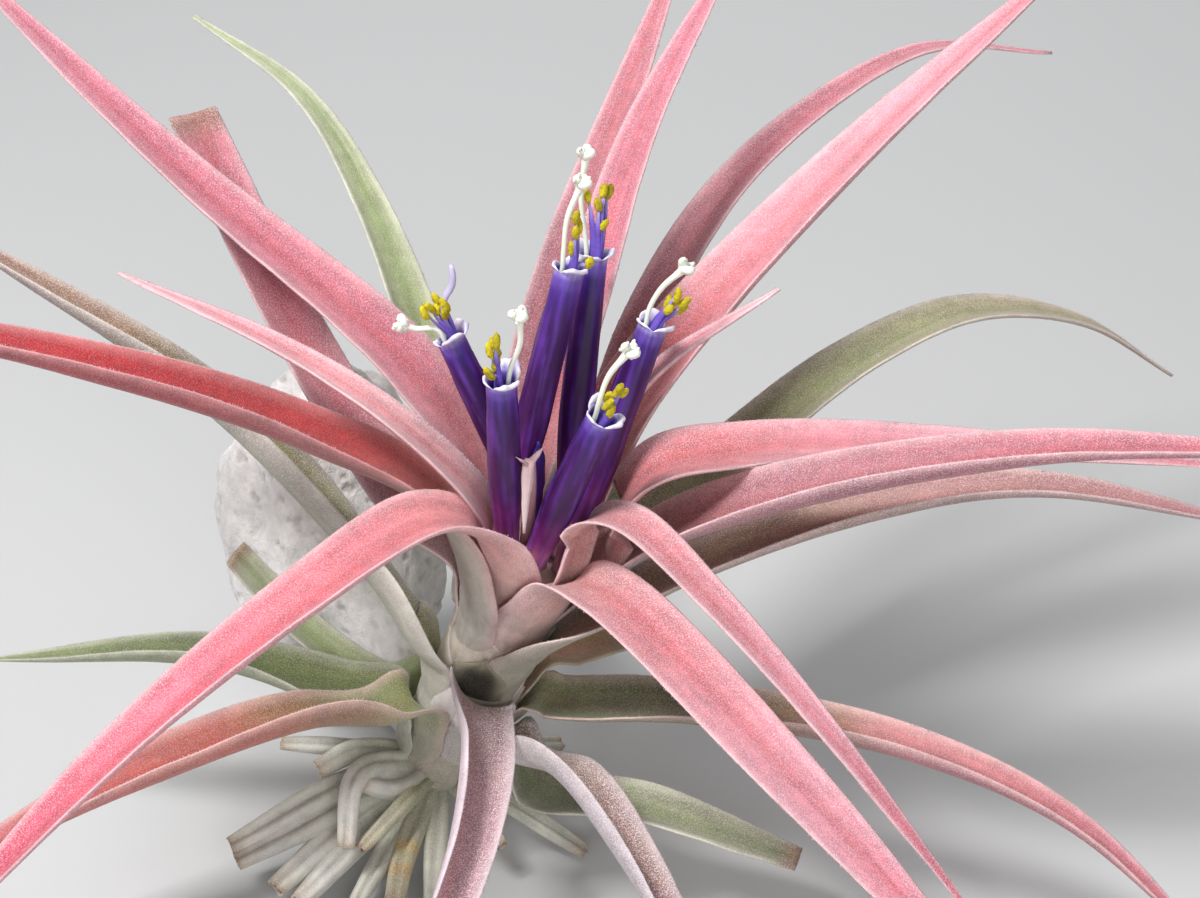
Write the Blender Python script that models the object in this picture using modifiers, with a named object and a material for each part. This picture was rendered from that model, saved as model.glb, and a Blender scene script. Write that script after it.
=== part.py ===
"""Peach capitata air plant in flower, grown on a pale stone.

Metres, +Z up, origin at the middle of the stone's flat foot. The plant faces -Y.
Lengths in the tables are millimetres. Places in them are measured from the head,
the disc at the top of the stem that carries the flowers: right, back, up.
"""

import math

import bmesh
import bpy
from mathutils import Vector, noise

MM = 0.001

# Driving dimensions
HEAD = Vector((36, -40, 60))
STEM_BASE = Vector((-17.5, 4, -47))
STEM_RADII = ((0, 7.0), (0.12, 8.4), (0.45, 7.6), (0.8, 7.2), (1, 7.2))
SHEATH_FLARE = math.radians(22)
SHEATH_GAP = 0.35
BLADE_THICK = 0.75
TIP_WIDE = 1.0
TUBE_RADIUS = 2.8
TUBE_FOOT_RADIUS = 1.7
TUBE_THROAT_DEPTH = 9.0
BLOOM_REACH = 5.4
STONE_SIZE = Vector((21, 16, 38))
STONE_LEDGE = 1.27

AXIS = -STEM_BASE.normalized()
STEM_LENGTH = STEM_BASE.length

PINK = (0.85, 0.45, 0.48)
RED = (0.72, 0.20, 0.23)
PEACH = (0.91, 0.63, 0.56)
MAUVE = (0.60, 0.42, 0.44)
OLIVE = (0.55, 0.52, 0.36)
GREEN = (0.42, 0.49, 0.27)
PALE_GREEN = (0.72, 0.77, 0.60)
PALE_GREY = (0.73, 0.75, 0.69)
VIOLET = (0.25, 0.14, 0.55)
ANTHER_YELLOW = (0.84, 0.76, 0.11)
STIGMA_WHITE = (0.89, 0.92, 0.84)
PAPERY_PINK = (0.86, 0.70, 0.70)
STONE_WHITE = (0.83, 0.81, 0.80)


def clear_scene():
    for item in list(bpy.data.objects):
        bpy.data.objects.remove(item, do_unlink=True)


def new_collection(name):
    made = bpy.data.collections.new(name)
    bpy.context.scene.collection.children.link(made)
    return made


clear_scene()
PARTS = new_collection("peach_capitata_air_plant")


def material(name, colour, roughness=0.75):
    made = bpy.data.materials.new(name)
    made.use_nodes = True
    shader = made.node_tree.nodes["Principled BSDF"]
    shader.inputs["Base Color"].default_value = (*colour, 1)
    shader.inputs["Roughness"].default_value = roughness
    shader.inputs["Metallic"].default_value = 0
    return made


def add_object(name, mesh, colour, roughness=0.75):
    item = bpy.data.objects.new(name, mesh)
    item.data.materials.append(material(name + "_finish", colour, roughness))
    PARTS.objects.link(item)
    return item


def smooth(t):
    t = min(max(t, 0.0), 1.0)
    return t * t * (3 - 2 * t)


def mix(a, b, t):
    return a + (b - a) * t


def along(stops, t):
    """Value at t on a line through (t, value) stops."""
    for (t0, v0), (t1, v1) in zip(stops, stops[1:]):
        if t <= t1:
            return mix(v0, v1, smooth((t - t0) / (t1 - t0)))
    return stops[-1][1]


def outward(azimuth):
    """Direction square to the stem at this compass azimuth in degrees: 0 is right, 90 is back."""
    turn = math.radians(azimuth)
    flat = Vector((math.cos(turn), math.sin(turn), 0))
    return (flat - AXIS * flat.dot(AXIS)).normalized()


def stem_radius(drop):
    return along(STEM_RADII, 1 - drop / STEM_LENGTH)


def curve_points(stops, count, crowding=1.35):
    """Points along a smooth curve through the stops, closer together near its start, with their shares."""
    stops = [2 * stops[0] - stops[1], *stops, 2 * stops[-1] - stops[-2]]
    dense = []
    for a, b, c, d in zip(stops, stops[1:], stops[2:], stops[3:]):
        k1 = (b - a).length ** 0.5
        k2 = k1 + (c - b).length ** 0.5
        k3 = k2 + (d - c).length ** 0.5
        for i in range(24):
            k = mix(k1, k2, i / 24)
            ab = mix(a, b, k / k1)
            bc = mix(b, c, (k - k1) / (k2 - k1))
            cd = mix(c, d, (k - k2) / (k3 - k2))
            abc = mix(ab, bc, k / k2)
            bcd = mix(bc, cd, (k - k1) / (k3 - k1))
            dense.append(mix(abc, bcd, (k - k1) / (k2 - k1)))
    dense.append(stops[-2])
    runs = [0.0]
    for p, q in zip(dense, dense[1:]):
        runs.append(runs[-1] + (q - p).length)
    points = []
    for i in range(count + 1):
        share = (i / count) ** crowding
        target = share * runs[-1]
        j = max(1, next(n for n, run in enumerate(runs) if run >= target - 1e-9))
        part = (target - runs[j - 1]) / (runs[j] - runs[j - 1])
        points.append((share, mix(dense[j - 1], dense[j], part)))
    return points, runs[-1]


def mesh_of(name, points, faces):
    mesh = bpy.data.meshes.new(name)
    mesh.from_pydata([(HEAD + p) * MM for p in points], [], faces)
    shape = bmesh.new()
    shape.from_mesh(mesh)
    bmesh.ops.triangulate(shape, faces=shape.faces[:])
    shape.to_mesh(mesh)
    shape.free()
    mesh.shade_smooth()
    return mesh


def blade_rows(stops, root_side, root_inner, width_at, curl_at, roll_at, settle, steps, across):
    """Rows of points across a blade that follows the stops.

    It starts square to root_side with its inner face towards root_inner, and settles by the share
    given in settle to lie level. width_at, curl_at and roll_at give, for a share of the length, its
    width in mm, the turn from rim to rim and the turn about its own length, in degrees.
    """
    stations, _ = curve_points(stops, steps)
    spread = stops[-1] - stops[min(2, len(stops) - 2)]
    level_side = Vector((-spread.y, spread.x, 0)).normalized()
    if level_side.dot(root_side) < 0:
        level_side = -level_side
    rows = []
    for i, (share, point) in enumerate(stations):
        forward = (stations[min(i + 1, steps)][1] - stations[max(i - 1, 0)][1]).normalized()
        side = mix(root_side, level_side, smooth(share / settle))
        side = (side - forward * side.dot(forward)).normalized()
        inner = forward.cross(side)
        if inner.dot(mix(root_inner, AXIS, smooth(2 * share / settle))) < 0:
            inner = -inner
        roll = math.radians(roll_at(share))
        side, inner = (side * math.cos(roll) + inner * math.sin(roll),
                       inner * math.cos(roll) - side * math.sin(roll))
        bend = math.radians(curl_at(share))
        hollow = width_at(share) / bend
        angles = [(k / across - 0.5) * bend for k in range(across + 1)]
        rows.append([point + side * math.sin(a) * hollow + inner * (1 - math.cos(a)) * hollow
                     for a in angles])
    return rows


def add_blade(name, colour, rows):
    """A thin blade as one mesh sheet with a Solidify thickness."""
    one = len(rows[0])
    faces = [(i * one + k, i * one + k + 1, (i + 1) * one + k + 1, (i + 1) * one + k)
             for i in range(len(rows) - 1) for k in range(one - 1)]
    made = add_object(name, mesh_of(name, [p for row in rows for p in row], faces), colour)
    shell = made.modifiers.new("blade thickness", "SOLIDIFY")
    shell.thickness = BLADE_THICK * MM
    shell.offset = 0
    return made


def leaf(name, colour, drop, azimuth, via, wide=12, curl=(66, 90, 50), roll=(0, 0, 0),
         sheath=8, wrap=40, taper=1.8, end=0, steps=14, across=4):
    """A leaf whose sheath sits on the stem, drop mm below the head.

    wrap is how far the sheath reaches round the stem to each side, in degrees. curl and roll hold
    at the start, middle and tip of the blade. end is the width left at a cut tip, as a share.
    """
    out = outward(azimuth)
    radius = stem_radius(drop) + SHEATH_GAP + BLADE_THICK / 2
    foot = -AXIS * drop + out * radius
    rise = AXIS * math.cos(SHEATH_FLARE) + out * math.sin(SHEATH_FLARE)
    stops = [foot, foot + rise * sheath * 0.5, foot + rise * sheath, *map(Vector, via)]
    start = sheath / sum((b - a).length for a, b in zip(stops, stops[1:]))
    neck = start * 3
    wrap_turn = 2 * wrap

    def blade_share(share):
        return max(0.0, (share - start) / (1 - start))

    def width_at(share):
        t = blade_share(share)
        blade = mix(wide, wide * end, t * t) if end else mix(wide, TIP_WIDE, t ** taper)
        return mix(radius * math.radians(wrap_turn), blade, smooth(share / neck))

    def curl_at(share):
        stops_of = ((0, curl[0]), (0.5, curl[1]), (1, curl[2]))
        return mix(wrap_turn, along(stops_of, blade_share(share)), smooth(share / neck))

    def roll_at(share):
        stops_of = ((0, roll[0]), (0.5, roll[1]), (1, roll[2]))
        return smooth(share / neck) * along(stops_of, blade_share(share))

    rows = blade_rows(stops, AXIS.cross(out), -out, width_at, curl_at, roll_at, neck,
                      steps, across)
    return add_blade(name, colour, rows)


def add_upper_leaves():
    """The pink and peach leaves round the flowers, innermost first."""
    leaf("leaf_right_small", PINK, 0, 42, [(14, 9, 19), (21, 9, 31), (41, 17, 42)],
         wide=6, wrap=20, sheath=5, steps=10)
    leaf("leaf_left_small", PINK, 0, 165, [(-11, 0, 15), (-22, 0, 27), (-40, 6, 37), (-66, 14, 46.5)],
         wide=9, wrap=22, sheath=4, curl=(70, 100, 60))
    leaf("leaf_front_right_narrow", PINK, 0, 305,
         [(9.5, -8.5, 13), (16, -13.5, 16.5), (30, -26, 9), (46, -41, -3), (68, -55, -27)],
         wide=9, wrap=14, sheath=3, curl=(60, 60, 30), taper=1.4)
    leaf("leaf_back_inner", PINK, 3, 95, [(4.2, 15, 20.2), (11, 23, 41), (19, 38, 61), (36, 60, 87)],
         wide=12, wrap=32)
    leaf("leaf_front_left", PINK, 4, 226,
         [(-8, -9, 11), (-15, -13, 16), (-34, -32, 13), (-63, -52, -3), (-94, -68, -30)],
         wide=14, wrap=46, curl=(80, 130, 80), taper=2.2)
    leaf("leaf_right", PINK, 4.5, 0, [(20, -1.5, 17.5), (36, 2, 19.5), (69, 6, 18), (114, 0, 18.5)],
         wide=16, wrap=26, curl=(66, 80, 50))
    leaf("leaf_back", MAUVE, 6.3, 97, [(0.5, 20.5, 16.5), (6, 30, 38.5), (16, 49, 61), (27, 72, 83)],
         wide=12.5, wrap=32)
    leaf("leaf_right_high", PINK, 8.5, 64, [(13.5, 16, 12), (20.5, 20, 22.5), (53, 38, 53), (94, 58, 86)],
         wide=19, wrap=28, curl=(66, 120, 80))
    leaf("leaf_left_high", PINK, 8.5, 154, [(-10, 10, 13), (-21, 15.5, 28), (-56, 30, 54.5), (-97, 50, 89)],
         wide=16, wrap=22)
    leaf("leaf_front_right", PEACH, 9, 291,
         [(7, -11.8, 3.2), (13.5, -18, 4.4), (42, -50, -8), (71, -76, -28)],
         wide=13, wrap=38, curl=(60, 40, 25), taper=3)
    leaf("leaf_back_right", MAUVE, 12.5, 76,
         [(12, 23, 7), (20, 34, 25), (32, 50, 40), (47, 60, 52), (70, 74, 60), (94, 80, 57)],
         wide=12.5, wrap=32)
    leaf("leaf_left_red", RED, 12.5, 215,
         [(-16, 1.5, 9.5), (-36, -5, 26), (-64, -14, 43), (-92, -21, 55), (-116, -27, 59)],
         wide=18, wrap=33, curl=(66, 150, 110), roll=(0, 6, 6), taper=2.4)
    leaf("leaf_right_dark", PINK, 9.5, 354,
         [(21.5, -4, 6), (43, -14, 21), (80, -22, 34), (119, -27, 38)],
         wide=17, wrap=24, curl=(66, 165, 110), taper=2.2)


def add_middle_leaves():
    """The olive and pale leaves under the pink ones, most of them behind the plant."""
    leaf("leaf_back_left_cut", PINK, 14.5, 157, [(-19, 7.5, 3), (-27, 11, 13), (-42, 26, 33), (-58, 46, 60)],
         wide=12, wrap=28, end=0.8, steps=12)
    leaf("leaf_right_arched", OLIVE, 16, 34,
         [(15, 10, -5), (30, 18, 3), (55, 30, 19), (76, 39, 25), (98, 46, 19.5), (116, 49, 7)],
         wide=17, wrap=32)
    leaf("leaf_back_pale", PALE_GREEN, 18.5, 114,
         [(-11, 14, -1), (-15, 22, 14), (-29, 50, 41), (-41, 63, 56), (-60, 70, 68)],
         wide=11, wrap=30)
    leaf("leaf_right_low", OLIVE, 18.5, 316, [(28, -6, 2), (76, -7, 18), (121, -4, 9)],
         wide=13, wrap=42, curl=(66, 150, 100), taper=2.2)
    leaf("leaf_left_old", OLIVE, 31, 189, [(-20, -1.5, -16), (-28, 1, -3), (-54, 12, 22.6), (-99, 24, 52)],
         wide=20, wrap=34, curl=(80, 150, 100), roll=(36, 26, 14), taper=2.2)
    leaf("leaf_back_low_right", OLIVE, 25, 55, [(6, 16, -14), (22, 34, -4), (48, 62, -12)],
         wide=13, wrap=32, steps=12)
    leaf("leaf_back_low", GREEN, 33, 89, [(-9, 19, -24), (-7, 40, -18), (2, 74, -30)],
         wide=13, wrap=32, steps=12)


def add_lower_leaves():
    """The old green and mauve leaves that spread just above the surface."""
    leaf("leaf_right_lower", PINK, 33, 341,
         [(3, -2, -29), (28, -10, -25), (61, -21, -24), (88, -31, -31), (112, -44, -48)],
         wide=15, wrap=31, curl=(80, 150, 100), roll=(0, -14, -10), taper=2.2)
    leaf("leaf_left_cut", PALE_GREEN, 44.5, 146, [(-28, 11, -34), (-41, 15.5, -26.8), (-53, 19, -12)],
         wide=10, wrap=24, end=0.7, steps=10)
    leaf("leaf_right_stub", GREEN, 29.5, 22, [(7, 9, -26), (26, 14, -24)],
         wide=10, wrap=28, end=0.6, steps=8)
    leaf("leaf_left_level", GREEN, 42.5, 191, [(-33, 2, -30), (-58, 4, -24), (-95, 9, -27.5)],
         wide=16, wrap=24, curl=(66, 160, 100), roll=(0, 12, 8))
    leaf("leaf_front_drooping", MAUVE, 32.5, 267,
         [(-10, -12, -21), (-9, -24, -23), (-11, -43, -28), (-18, -65, -42)],
         wide=14.5, wrap=38, curl=(130, 170, 110), roll=(-46, -50, -30), taper=3)
    leaf("leaf_left_lower", PEACH, 39, 214,
         [(-25, -8.7, -27), (-38, -15.3, -23.2), (-69, -29, -27), (-99, -43, -35)],
         wide=18, wrap=32, curl=(130, 140, 100), roll=(32, 14, 8), taper=2.4)
    leaf("leaf_front_right_lower", MAUVE, 36.5, 294,
         [(-4, -12, -32), (5, -21, -29), (16, -37, -34), (32, -58, -50)],
         wide=16, wrap=36, curl=(100, 160, 100), roll=(-40, -36, -22), taper=2.6)
    leaf("leaf_right_cut", GREEN, 44, 328, [(0, -7, -44), (20, -16, -41), (45, -24, -45)],
         wide=13, wrap=30, end=0.4, steps=12)


def tube(name, points, radii, sides, caps=True):
    """A round curve tube of these points in mm, as a closed mesh."""
    line = bpy.data.curves.new(name, "CURVE")
    line.dimensions = "3D"
    line.bevel_depth = MM
    line.bevel_resolution = sides // 4 - 1
    line.use_fill_caps = caps
    spline = line.splines.new("POLY")
    spline.points.add(len(points) - 1)
    for spot, point, radius in zip(spline.points, points, radii):
        spot.co = (*((HEAD + point) * MM), 1)
        spot.radius = radius
    holder = bpy.data.objects.new(name, line)
    bpy.context.scene.collection.objects.link(holder)
    graph = bpy.context.evaluated_depsgraph_get()
    mesh = bpy.data.meshes.new_from_object(holder.evaluated_get(graph))
    bpy.data.objects.remove(holder, do_unlink=True)
    shape = bmesh.new()
    shape.from_mesh(mesh)
    bmesh.ops.remove_doubles(shape, verts=shape.verts, dist=MM * 0.01)
    bmesh.ops.triangulate(shape, faces=shape.faces[:])
    bmesh.ops.recalc_face_normals(shape, faces=shape.faces)
    shape.to_mesh(mesh)
    shape.free()
    mesh.shade_smooth()
    return mesh


def ball(name, centre, radius, stretch, direction, segments=8, rings=5):
    """A round or long ball with its long axis along the direction."""
    mesh = bpy.data.meshes.new(name)
    shape = bmesh.new()
    bmesh.ops.create_uvsphere(shape, u_segments=segments, v_segments=rings, radius=radius * MM)
    bmesh.ops.scale(shape, vec=(1, 1, stretch), verts=shape.verts)
    turn = Vector((0, 0, 1)).rotation_difference(direction).to_matrix()
    bmesh.ops.rotate(shape, cent=(0, 0, 0), matrix=turn, verts=shape.verts)
    bmesh.ops.translate(shape, vec=(HEAD + centre) * MM, verts=shape.verts)
    bmesh.ops.triangulate(shape, faces=shape.faces[:])
    shape.to_mesh(mesh)
    shape.free()
    mesh.shade_smooth()
    return mesh


def fused(name, meshes, colour):
    """These closed meshes joined in one body by a Boolean union."""
    made = add_object(name, meshes[0], colour)
    if len(meshes) == 1:
        return made
    others = new_collection(name + "_joined")
    for mesh in meshes[1:]:
        others.objects.link(bpy.data.objects.new(mesh.name, mesh))
    union = made.modifiers.new("join", "BOOLEAN")
    union.operation = "UNION"
    union.operand_type = "COLLECTION"
    union.collection = others
    union.solver = "EXACT"
    graph = bpy.context.evaluated_depsgraph_get()
    joined = bpy.data.meshes.new_from_object(made.evaluated_get(graph))
    made.modifiers.clear()
    made.data = joined
    for item in list(others.objects):
        bpy.data.objects.remove(item, do_unlink=True)
    bpy.data.collections.remove(others)
    return made


def add_stem():
    """Short stem wrapped in old leaf bases, with the folded stubs of leaves cut off round its foot."""
    shares = [i / 12 for i in range(13)]
    core = tube("stem_core", [STEM_BASE * (1 - s) for s in shares],
                [along(STEM_RADII, s) for s in shares], 12)
    stubs = []
    for i, (root, elbow, tip, radius) in enumerate(STUBS):
        points, _ = curve_points([Vector(root), Vector(elbow), Vector(tip)], 5, 1)
        radii = [radius * mix(0.9, 1, smooth(share * 2)) * mix(1, 0.7, share ** 3)
                 for share, _ in points]
        stubs.append(tube(f"stub_{i + 1}", [p for _, p in points], radii, 8))
    fused("stem", [core, *stubs], PALE_GREY)


STUBS = (
    ((-17, 3.6, -46), (-24, -6, -43), (-29.5, -9.5, -39), 3.4),
    ((-17, 3.6, -46), (-35, -6, -44.8), (-52, -14, -50.5), 2.9),
    ((-17, 3.6, -46), (-34, -8.5, -47.3), (-51, -16, -52), 2.7),
    ((-17, 3.6, -46), (-32, -9, -49.5), (-44, -20, -54.5), 3.0),
    ((-17, 3.6, -46), (-30, -11, -51), (-40, -22, -56), 2.7),
    ((-17, 3.6, -46), (-30, -10, -38), (-31.7, -19, -46.3), 2.3),
    ((-17, 3.6, -46), (-22, -10, -44), (-29.2, -18, -47.5), 1.8),
    ((-17, 3.6, -46), (-31, -1, -40), (-37.5, -4, -41.5), 2.6),
    ((-17, 3.6, -46), (-33, 3, -42.5), (-44.5, 2, -40.5), 1.9),
    ((-17, 3.6, -46), (-25, -12, -52), (-31, -24, -57), 2.2),
    ((-17, 3.6, -46), (-22, -13, -52), (-24, -26, -57), 2.4),
    ((-17, 3.6, -46), (-17, -11, -53), (-17, -25, -57), 2.2),
    ((-16, 3.6, -46), (-9, -8, -50), (-5.5, -12, -52), 2.2),
    ((-16, 3.6, -46), (0, 6, -49), (13, 6, -55), 2.4),
    ((-16, 3.6, -46), (-5, 14, -51), (4, 22, -57), 2.2),
    ((-16, 3.6, -46), (-2, -2, -53), (9, -8, -57), 2.0),
)


BLOOMS = (
    ("front_left", 221, (-3.5, -11, 41), (-3.8, -12.5, 48), (-0.5, -12.5, 53)),
    ("left", 66, (-12.3, 9, 37), (-14.5, 9, 41.9), (-20, 9, 39.7)),
    ("centre_left", 178, (6.8, 6, 51.2), (7.8, 7, 59), (8.8, 8, 65.2)),
    ("centre_right", 22, (10.6, 13.5, 49.7), (11.2, 15.5, 58.7), (9.5, 15.5, 66.7)),
    ("right_back", 342, (20, 6, 41), (23, 6.5, 46), (25, 7, 51)),
    ("right_front", 262, (12, -12, 35), (14, -13, 40.5), (16, -12.5, 47)),
)


def on_head(azimuth, reach, lift=SHEATH_GAP):
    """A place this far from the middle of the head and this high above it."""
    return outward(azimuth) * reach + AXIS * lift


def loft(name, rings):
    """A closed mesh through rings of points, capped at both ends."""
    count = len(rings[0])
    faces = [(i * count + k, i * count + (k + 1) % count,
              (i + 1) * count + (k + 1) % count, (i + 1) * count + k)
             for i in range(len(rings) - 1) for k in range(count)]
    faces.append(tuple(reversed(range(count))))
    faces.append(tuple((len(rings) - 1) * count + k for k in range(count)))
    return mesh_of(name, [p for ring in rings for p in ring], faces)


def add_bloom(name, azimuth, mouth, anthers, stigma):
    """One flower: a violet tube of rolled petals with three pale lips, its stamens and its style."""
    mouth, anthers, stigma = Vector(mouth), Vector(anthers), Vector(stigma)
    foot = on_head(azimuth, BLOOM_REACH)
    up = (mouth - foot).normalized()
    foot += AXIS * TUBE_FOOT_RADIUS * math.sin(up.angle(AXIS))
    up = (mouth - foot).normalized()
    right = up.cross(Vector((0, 1, 0))).normalized()
    away = up.cross(right)
    length = (mouth - foot).length
    outer = ((0, TUBE_FOOT_RADIUS), (0.2, 2.1), (0.5, TUBE_RADIUS), (0.78, 2.6), (0.95, 2.3))
    inner = ((1 - 1.5 / length, 1.85), (1 - TUBE_THROAT_DEPTH / length, 1.7))

    def ring(share, radius, lobe=0.0, lift=0.0):
        made = []
        for k in range(12):
            turn = math.pi * k / 6
            petal = max(0.0, math.cos(3 * turn))
            made.append(foot + up * (share * length + lift * petal)
                        + (right * math.cos(turn) + away * math.sin(turn)) * (radius + lobe * petal))
        return made

    rings = [ring(s, r) for s, r in outer]
    rings += [ring(1, 2.4, 0.8, 0.4), ring(1.02, 1.9, 0.5, 0.9)]
    rings += [ring(s, r) for s, r in inner]
    add_object(f"corolla_{name}", loft(f"corolla_{name}", rings), VIOLET, 0.45)

    reach = (anthers - mouth).normalized()
    beside = right if (stigma - anthers).dot(right) > -2 else -right
    floor = foot + up * (length - TUBE_THROAT_DEPTH + 0.4)
    column = tube(f"filaments_{name}", [floor - beside * 0.7, mouth - beside * 0.7, anthers],
                  [0.8, 0.8, 0.7], 8)
    across = reach.cross(beside).normalized()
    heads = [ball(f"anther_{k}", anthers + reach * (1.6 * k - 3) - beside * 0.5
                  + across * (0.8 if k % 2 else -0.8), 0.75, 1.5, reach, 6, 4) for k in range(3)]
    fused(f"stamens_{name}", [column, *heads], ANTHER_YELLOW)

    lift = mouth + up * 2.6 + beside * 1.5
    bend = mix(lift, stigma, 0.5) + beside * 0.8
    stalk = tube(f"style_stalk_{name}", [floor + beside * 1.1, mouth + beside * 1.1, lift, bend, stigma],
                 [0.4, 0.4, 0.5, 0.55, 0.6], 8)
    knob = ball(f"stigma_{name}", stigma, 1.5, 1.0, up, 8, 5)
    fused(f"style_{name}", [stalk, knob], STIGMA_WHITE)


def add_head():
    """The six open flowers, a young bud and the papery bracts among them."""
    for row in BLOOMS:
        add_bloom(*row)
    bud = [on_head(90, 0.8, 0.5), Vector((1.2, 0.4, 9)), Vector((1.7, -1.0, 20)), Vector((1.8, -1.6, 24.2))]
    add_object("bud", tube("bud", bud, [1.0, 1.2, 1.1, 0.4], 8), VIOLET, 0.45)
    front = on_head(241, 2.4)
    bract("bract_front", [front, (-0.3, -4, 8), (0.6, -6.2, 17), (0.7, -8, 24), (0.5, -10, 26), (-0.5, -12, 13.5)],
          2.1)
    inner = on_head(315, 2.6)
    bract("bract_inner", [inner, (2.4, -2.9, 8), (3.6, -3.8, 16), (4.4, -3.8, 22)], 2)


def bract(name, via, wide):
    """A small papery scale between the flowers."""
    rows = blade_rows([Vector(p) for p in via], Vector((1, 0, 0)), Vector((0, 1, 0)),
                      lambda share: mix(wide, TIP_WIDE, share ** 3), lambda share: 60,
                      lambda share: 0, 9, 8, 2)
    return add_blade(name, PAPERY_PINK, rows)


def stone_radius(direction):
    """Reach of the stone from its middle along a direction, as a share of its plain egg shape."""
    ledge = max(0.0, direction.dot(Vector((0.47, -0.82, -0.32)).normalized())) ** 30
    peak = max(0.0, direction.dot(Vector((0.35, 0.1, 0.93)).normalized())) ** 4
    rough = noise.noise(direction * 1.7 + Vector((3.1, 0.4, 8.2)))
    grain = noise.noise(direction * 4.5)
    return 0.97 + 0.08 * peak + STONE_LEDGE * ledge + 0.12 * rough + 0.07 * grain


def add_stone():
    """The pale stone behind the plant, its underside cut flat where it stands."""
    mesh = bpy.data.meshes.new("stone")
    shape = bmesh.new()
    bmesh.ops.create_icosphere(shape, subdivisions=4, radius=1)
    for vert in shape.verts:
        direction = vert.co.normalized()
        reach = stone_radius(direction)
        place = Vector(d * s for d, s in zip(direction, STONE_SIZE)) * reach
        place.z = max(0.0, place.z + STONE_SIZE.z * 0.92)
        place.x -= 1.5 * smooth(place.z / 30)
        vert.co = place * MM
    bmesh.ops.triangulate(shape, faces=shape.faces[:])
    shape.to_mesh(mesh)
    shape.free()
    mesh.shade_smooth()
    add_object("stone", mesh, STONE_WHITE, 0.9)


def main():
    add_stem()
    add_upper_leaves()
    add_middle_leaves()
    add_lower_leaves()
    add_head()
    add_stone()


main()
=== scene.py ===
"""Peach capitata air plant in flower on a pale stone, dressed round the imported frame.

Lengths in the tables are millimetres and places in them are measured from the head, the disc at
the top of the stem: right, back, up. Everything is turned to metres when its mesh is made.
"""

import random
from math import cos, degrees, exp, pi, radians, sin, tau

import bmesh
import bpy
from mathutils import Matrix, Vector, noise


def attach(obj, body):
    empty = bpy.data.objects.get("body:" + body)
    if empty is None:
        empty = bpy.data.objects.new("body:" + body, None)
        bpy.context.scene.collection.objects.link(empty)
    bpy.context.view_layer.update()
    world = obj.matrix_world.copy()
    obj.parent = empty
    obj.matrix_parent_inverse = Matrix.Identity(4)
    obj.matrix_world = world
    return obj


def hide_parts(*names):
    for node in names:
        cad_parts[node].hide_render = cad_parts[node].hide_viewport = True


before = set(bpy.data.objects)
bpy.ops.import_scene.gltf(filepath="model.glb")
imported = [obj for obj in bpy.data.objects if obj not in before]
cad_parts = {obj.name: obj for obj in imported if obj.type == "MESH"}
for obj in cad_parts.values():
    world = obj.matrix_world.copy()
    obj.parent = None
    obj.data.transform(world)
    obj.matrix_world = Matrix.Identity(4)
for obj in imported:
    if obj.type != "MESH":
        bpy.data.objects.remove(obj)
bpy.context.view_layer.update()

MM = 0.001

# Driving dimensions, the same as the solids'
HEAD = Vector((36, -40, 60))
STEM_BASE = Vector((-17.5, 4, -47))
STEM_RADII = ((0, 7.0), (0.12, 8.4), (0.45, 7.6), (0.8, 7.2), (1, 7.2))
SHEATH_FLARE = radians(22)
SHEATH_GAP = 0.35
BLADE_THICK = 0.75
TUBE_RADIUS = 2.8
TUBE_FOOT_RADIUS = 1.7
TUBE_THROAT_DEPTH = 9.0
BLOOM_REACH = 5.4
STONE_SIZE = Vector((21, 16, 38))
STONE_LEDGE = 1.27

# Fineness of the dressed meshes, and their rim hairs in mm
SPAN_POINTS = 24
LEAF_STEPS = 84
LEAF_ACROSS = 14
SKIRT_STEPS = 8
TIP_THIN = 0.5
HAIR_START = 0.02
HAIR_EVERY = 0.24
HAIR_LONG = 0.26
HAIR_WIDE = 0.10

AXIS = -STEM_BASE.normalized()
STEM_LENGTH = STEM_BASE.length


def smooth(t):
    t = min(max(t, 0.0), 1.0)
    return t * t * (3 - 2 * t)


def mix(a, b, t):
    return a + (b - a) * t


def along(stops, t):
    """Value at t on a line through (t, value) stops."""
    for (t0, v0), (t1, v1) in zip(stops, stops[1:]):
        if t <= t1:
            return mix(v0, v1, smooth((t - t0) / (t1 - t0)))
    return stops[-1][1]


def noise_at(x, y, z):
    return noise.noise(Vector((x, y, z)))


def turned_to(a, b, turn):
    """Direction a turned towards b by this angle."""
    return a * cos(turn) + b * sin(turn)


def shade(text):
    """A linear colour from its usual six-digit name."""
    values = [int(text[i:i + 2], 16) / 255 for i in (0, 2, 4)]
    return Vector(v / 12.92 if v <= 0.04045 else ((v + 0.055) / 1.055) ** 2.4 for v in values)


def shades(text):
    """Colour stops from places and colours such as 0 FFFFFF, 1 000000."""
    return [(float(place), shade(name)) for place, name in map(str.split, text.split(","))]


WHITE_SCURF = shade("F4DDE8")
DRY_BROWN = shade("8A6647")
# Multipliers that darken a leaf's groove as painted shade, for pink and for green leaves
GROOVE_SHADE_PINK = (0.86, 0.5, 0.5)
GROOVE_SHADE_GREEN = (0.66, 0.78, 0.5)


def outward(azimuth):
    """Direction square to the stem at this compass azimuth in degrees: 0 is right, 90 is back."""
    turn = radians(azimuth)
    flat = Vector((cos(turn), sin(turn), 0))
    return (flat - AXIS * flat.dot(AXIS)).normalized()


def stem_radius(drop):
    return along(STEM_RADII, 1 - drop / STEM_LENGTH)


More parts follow.
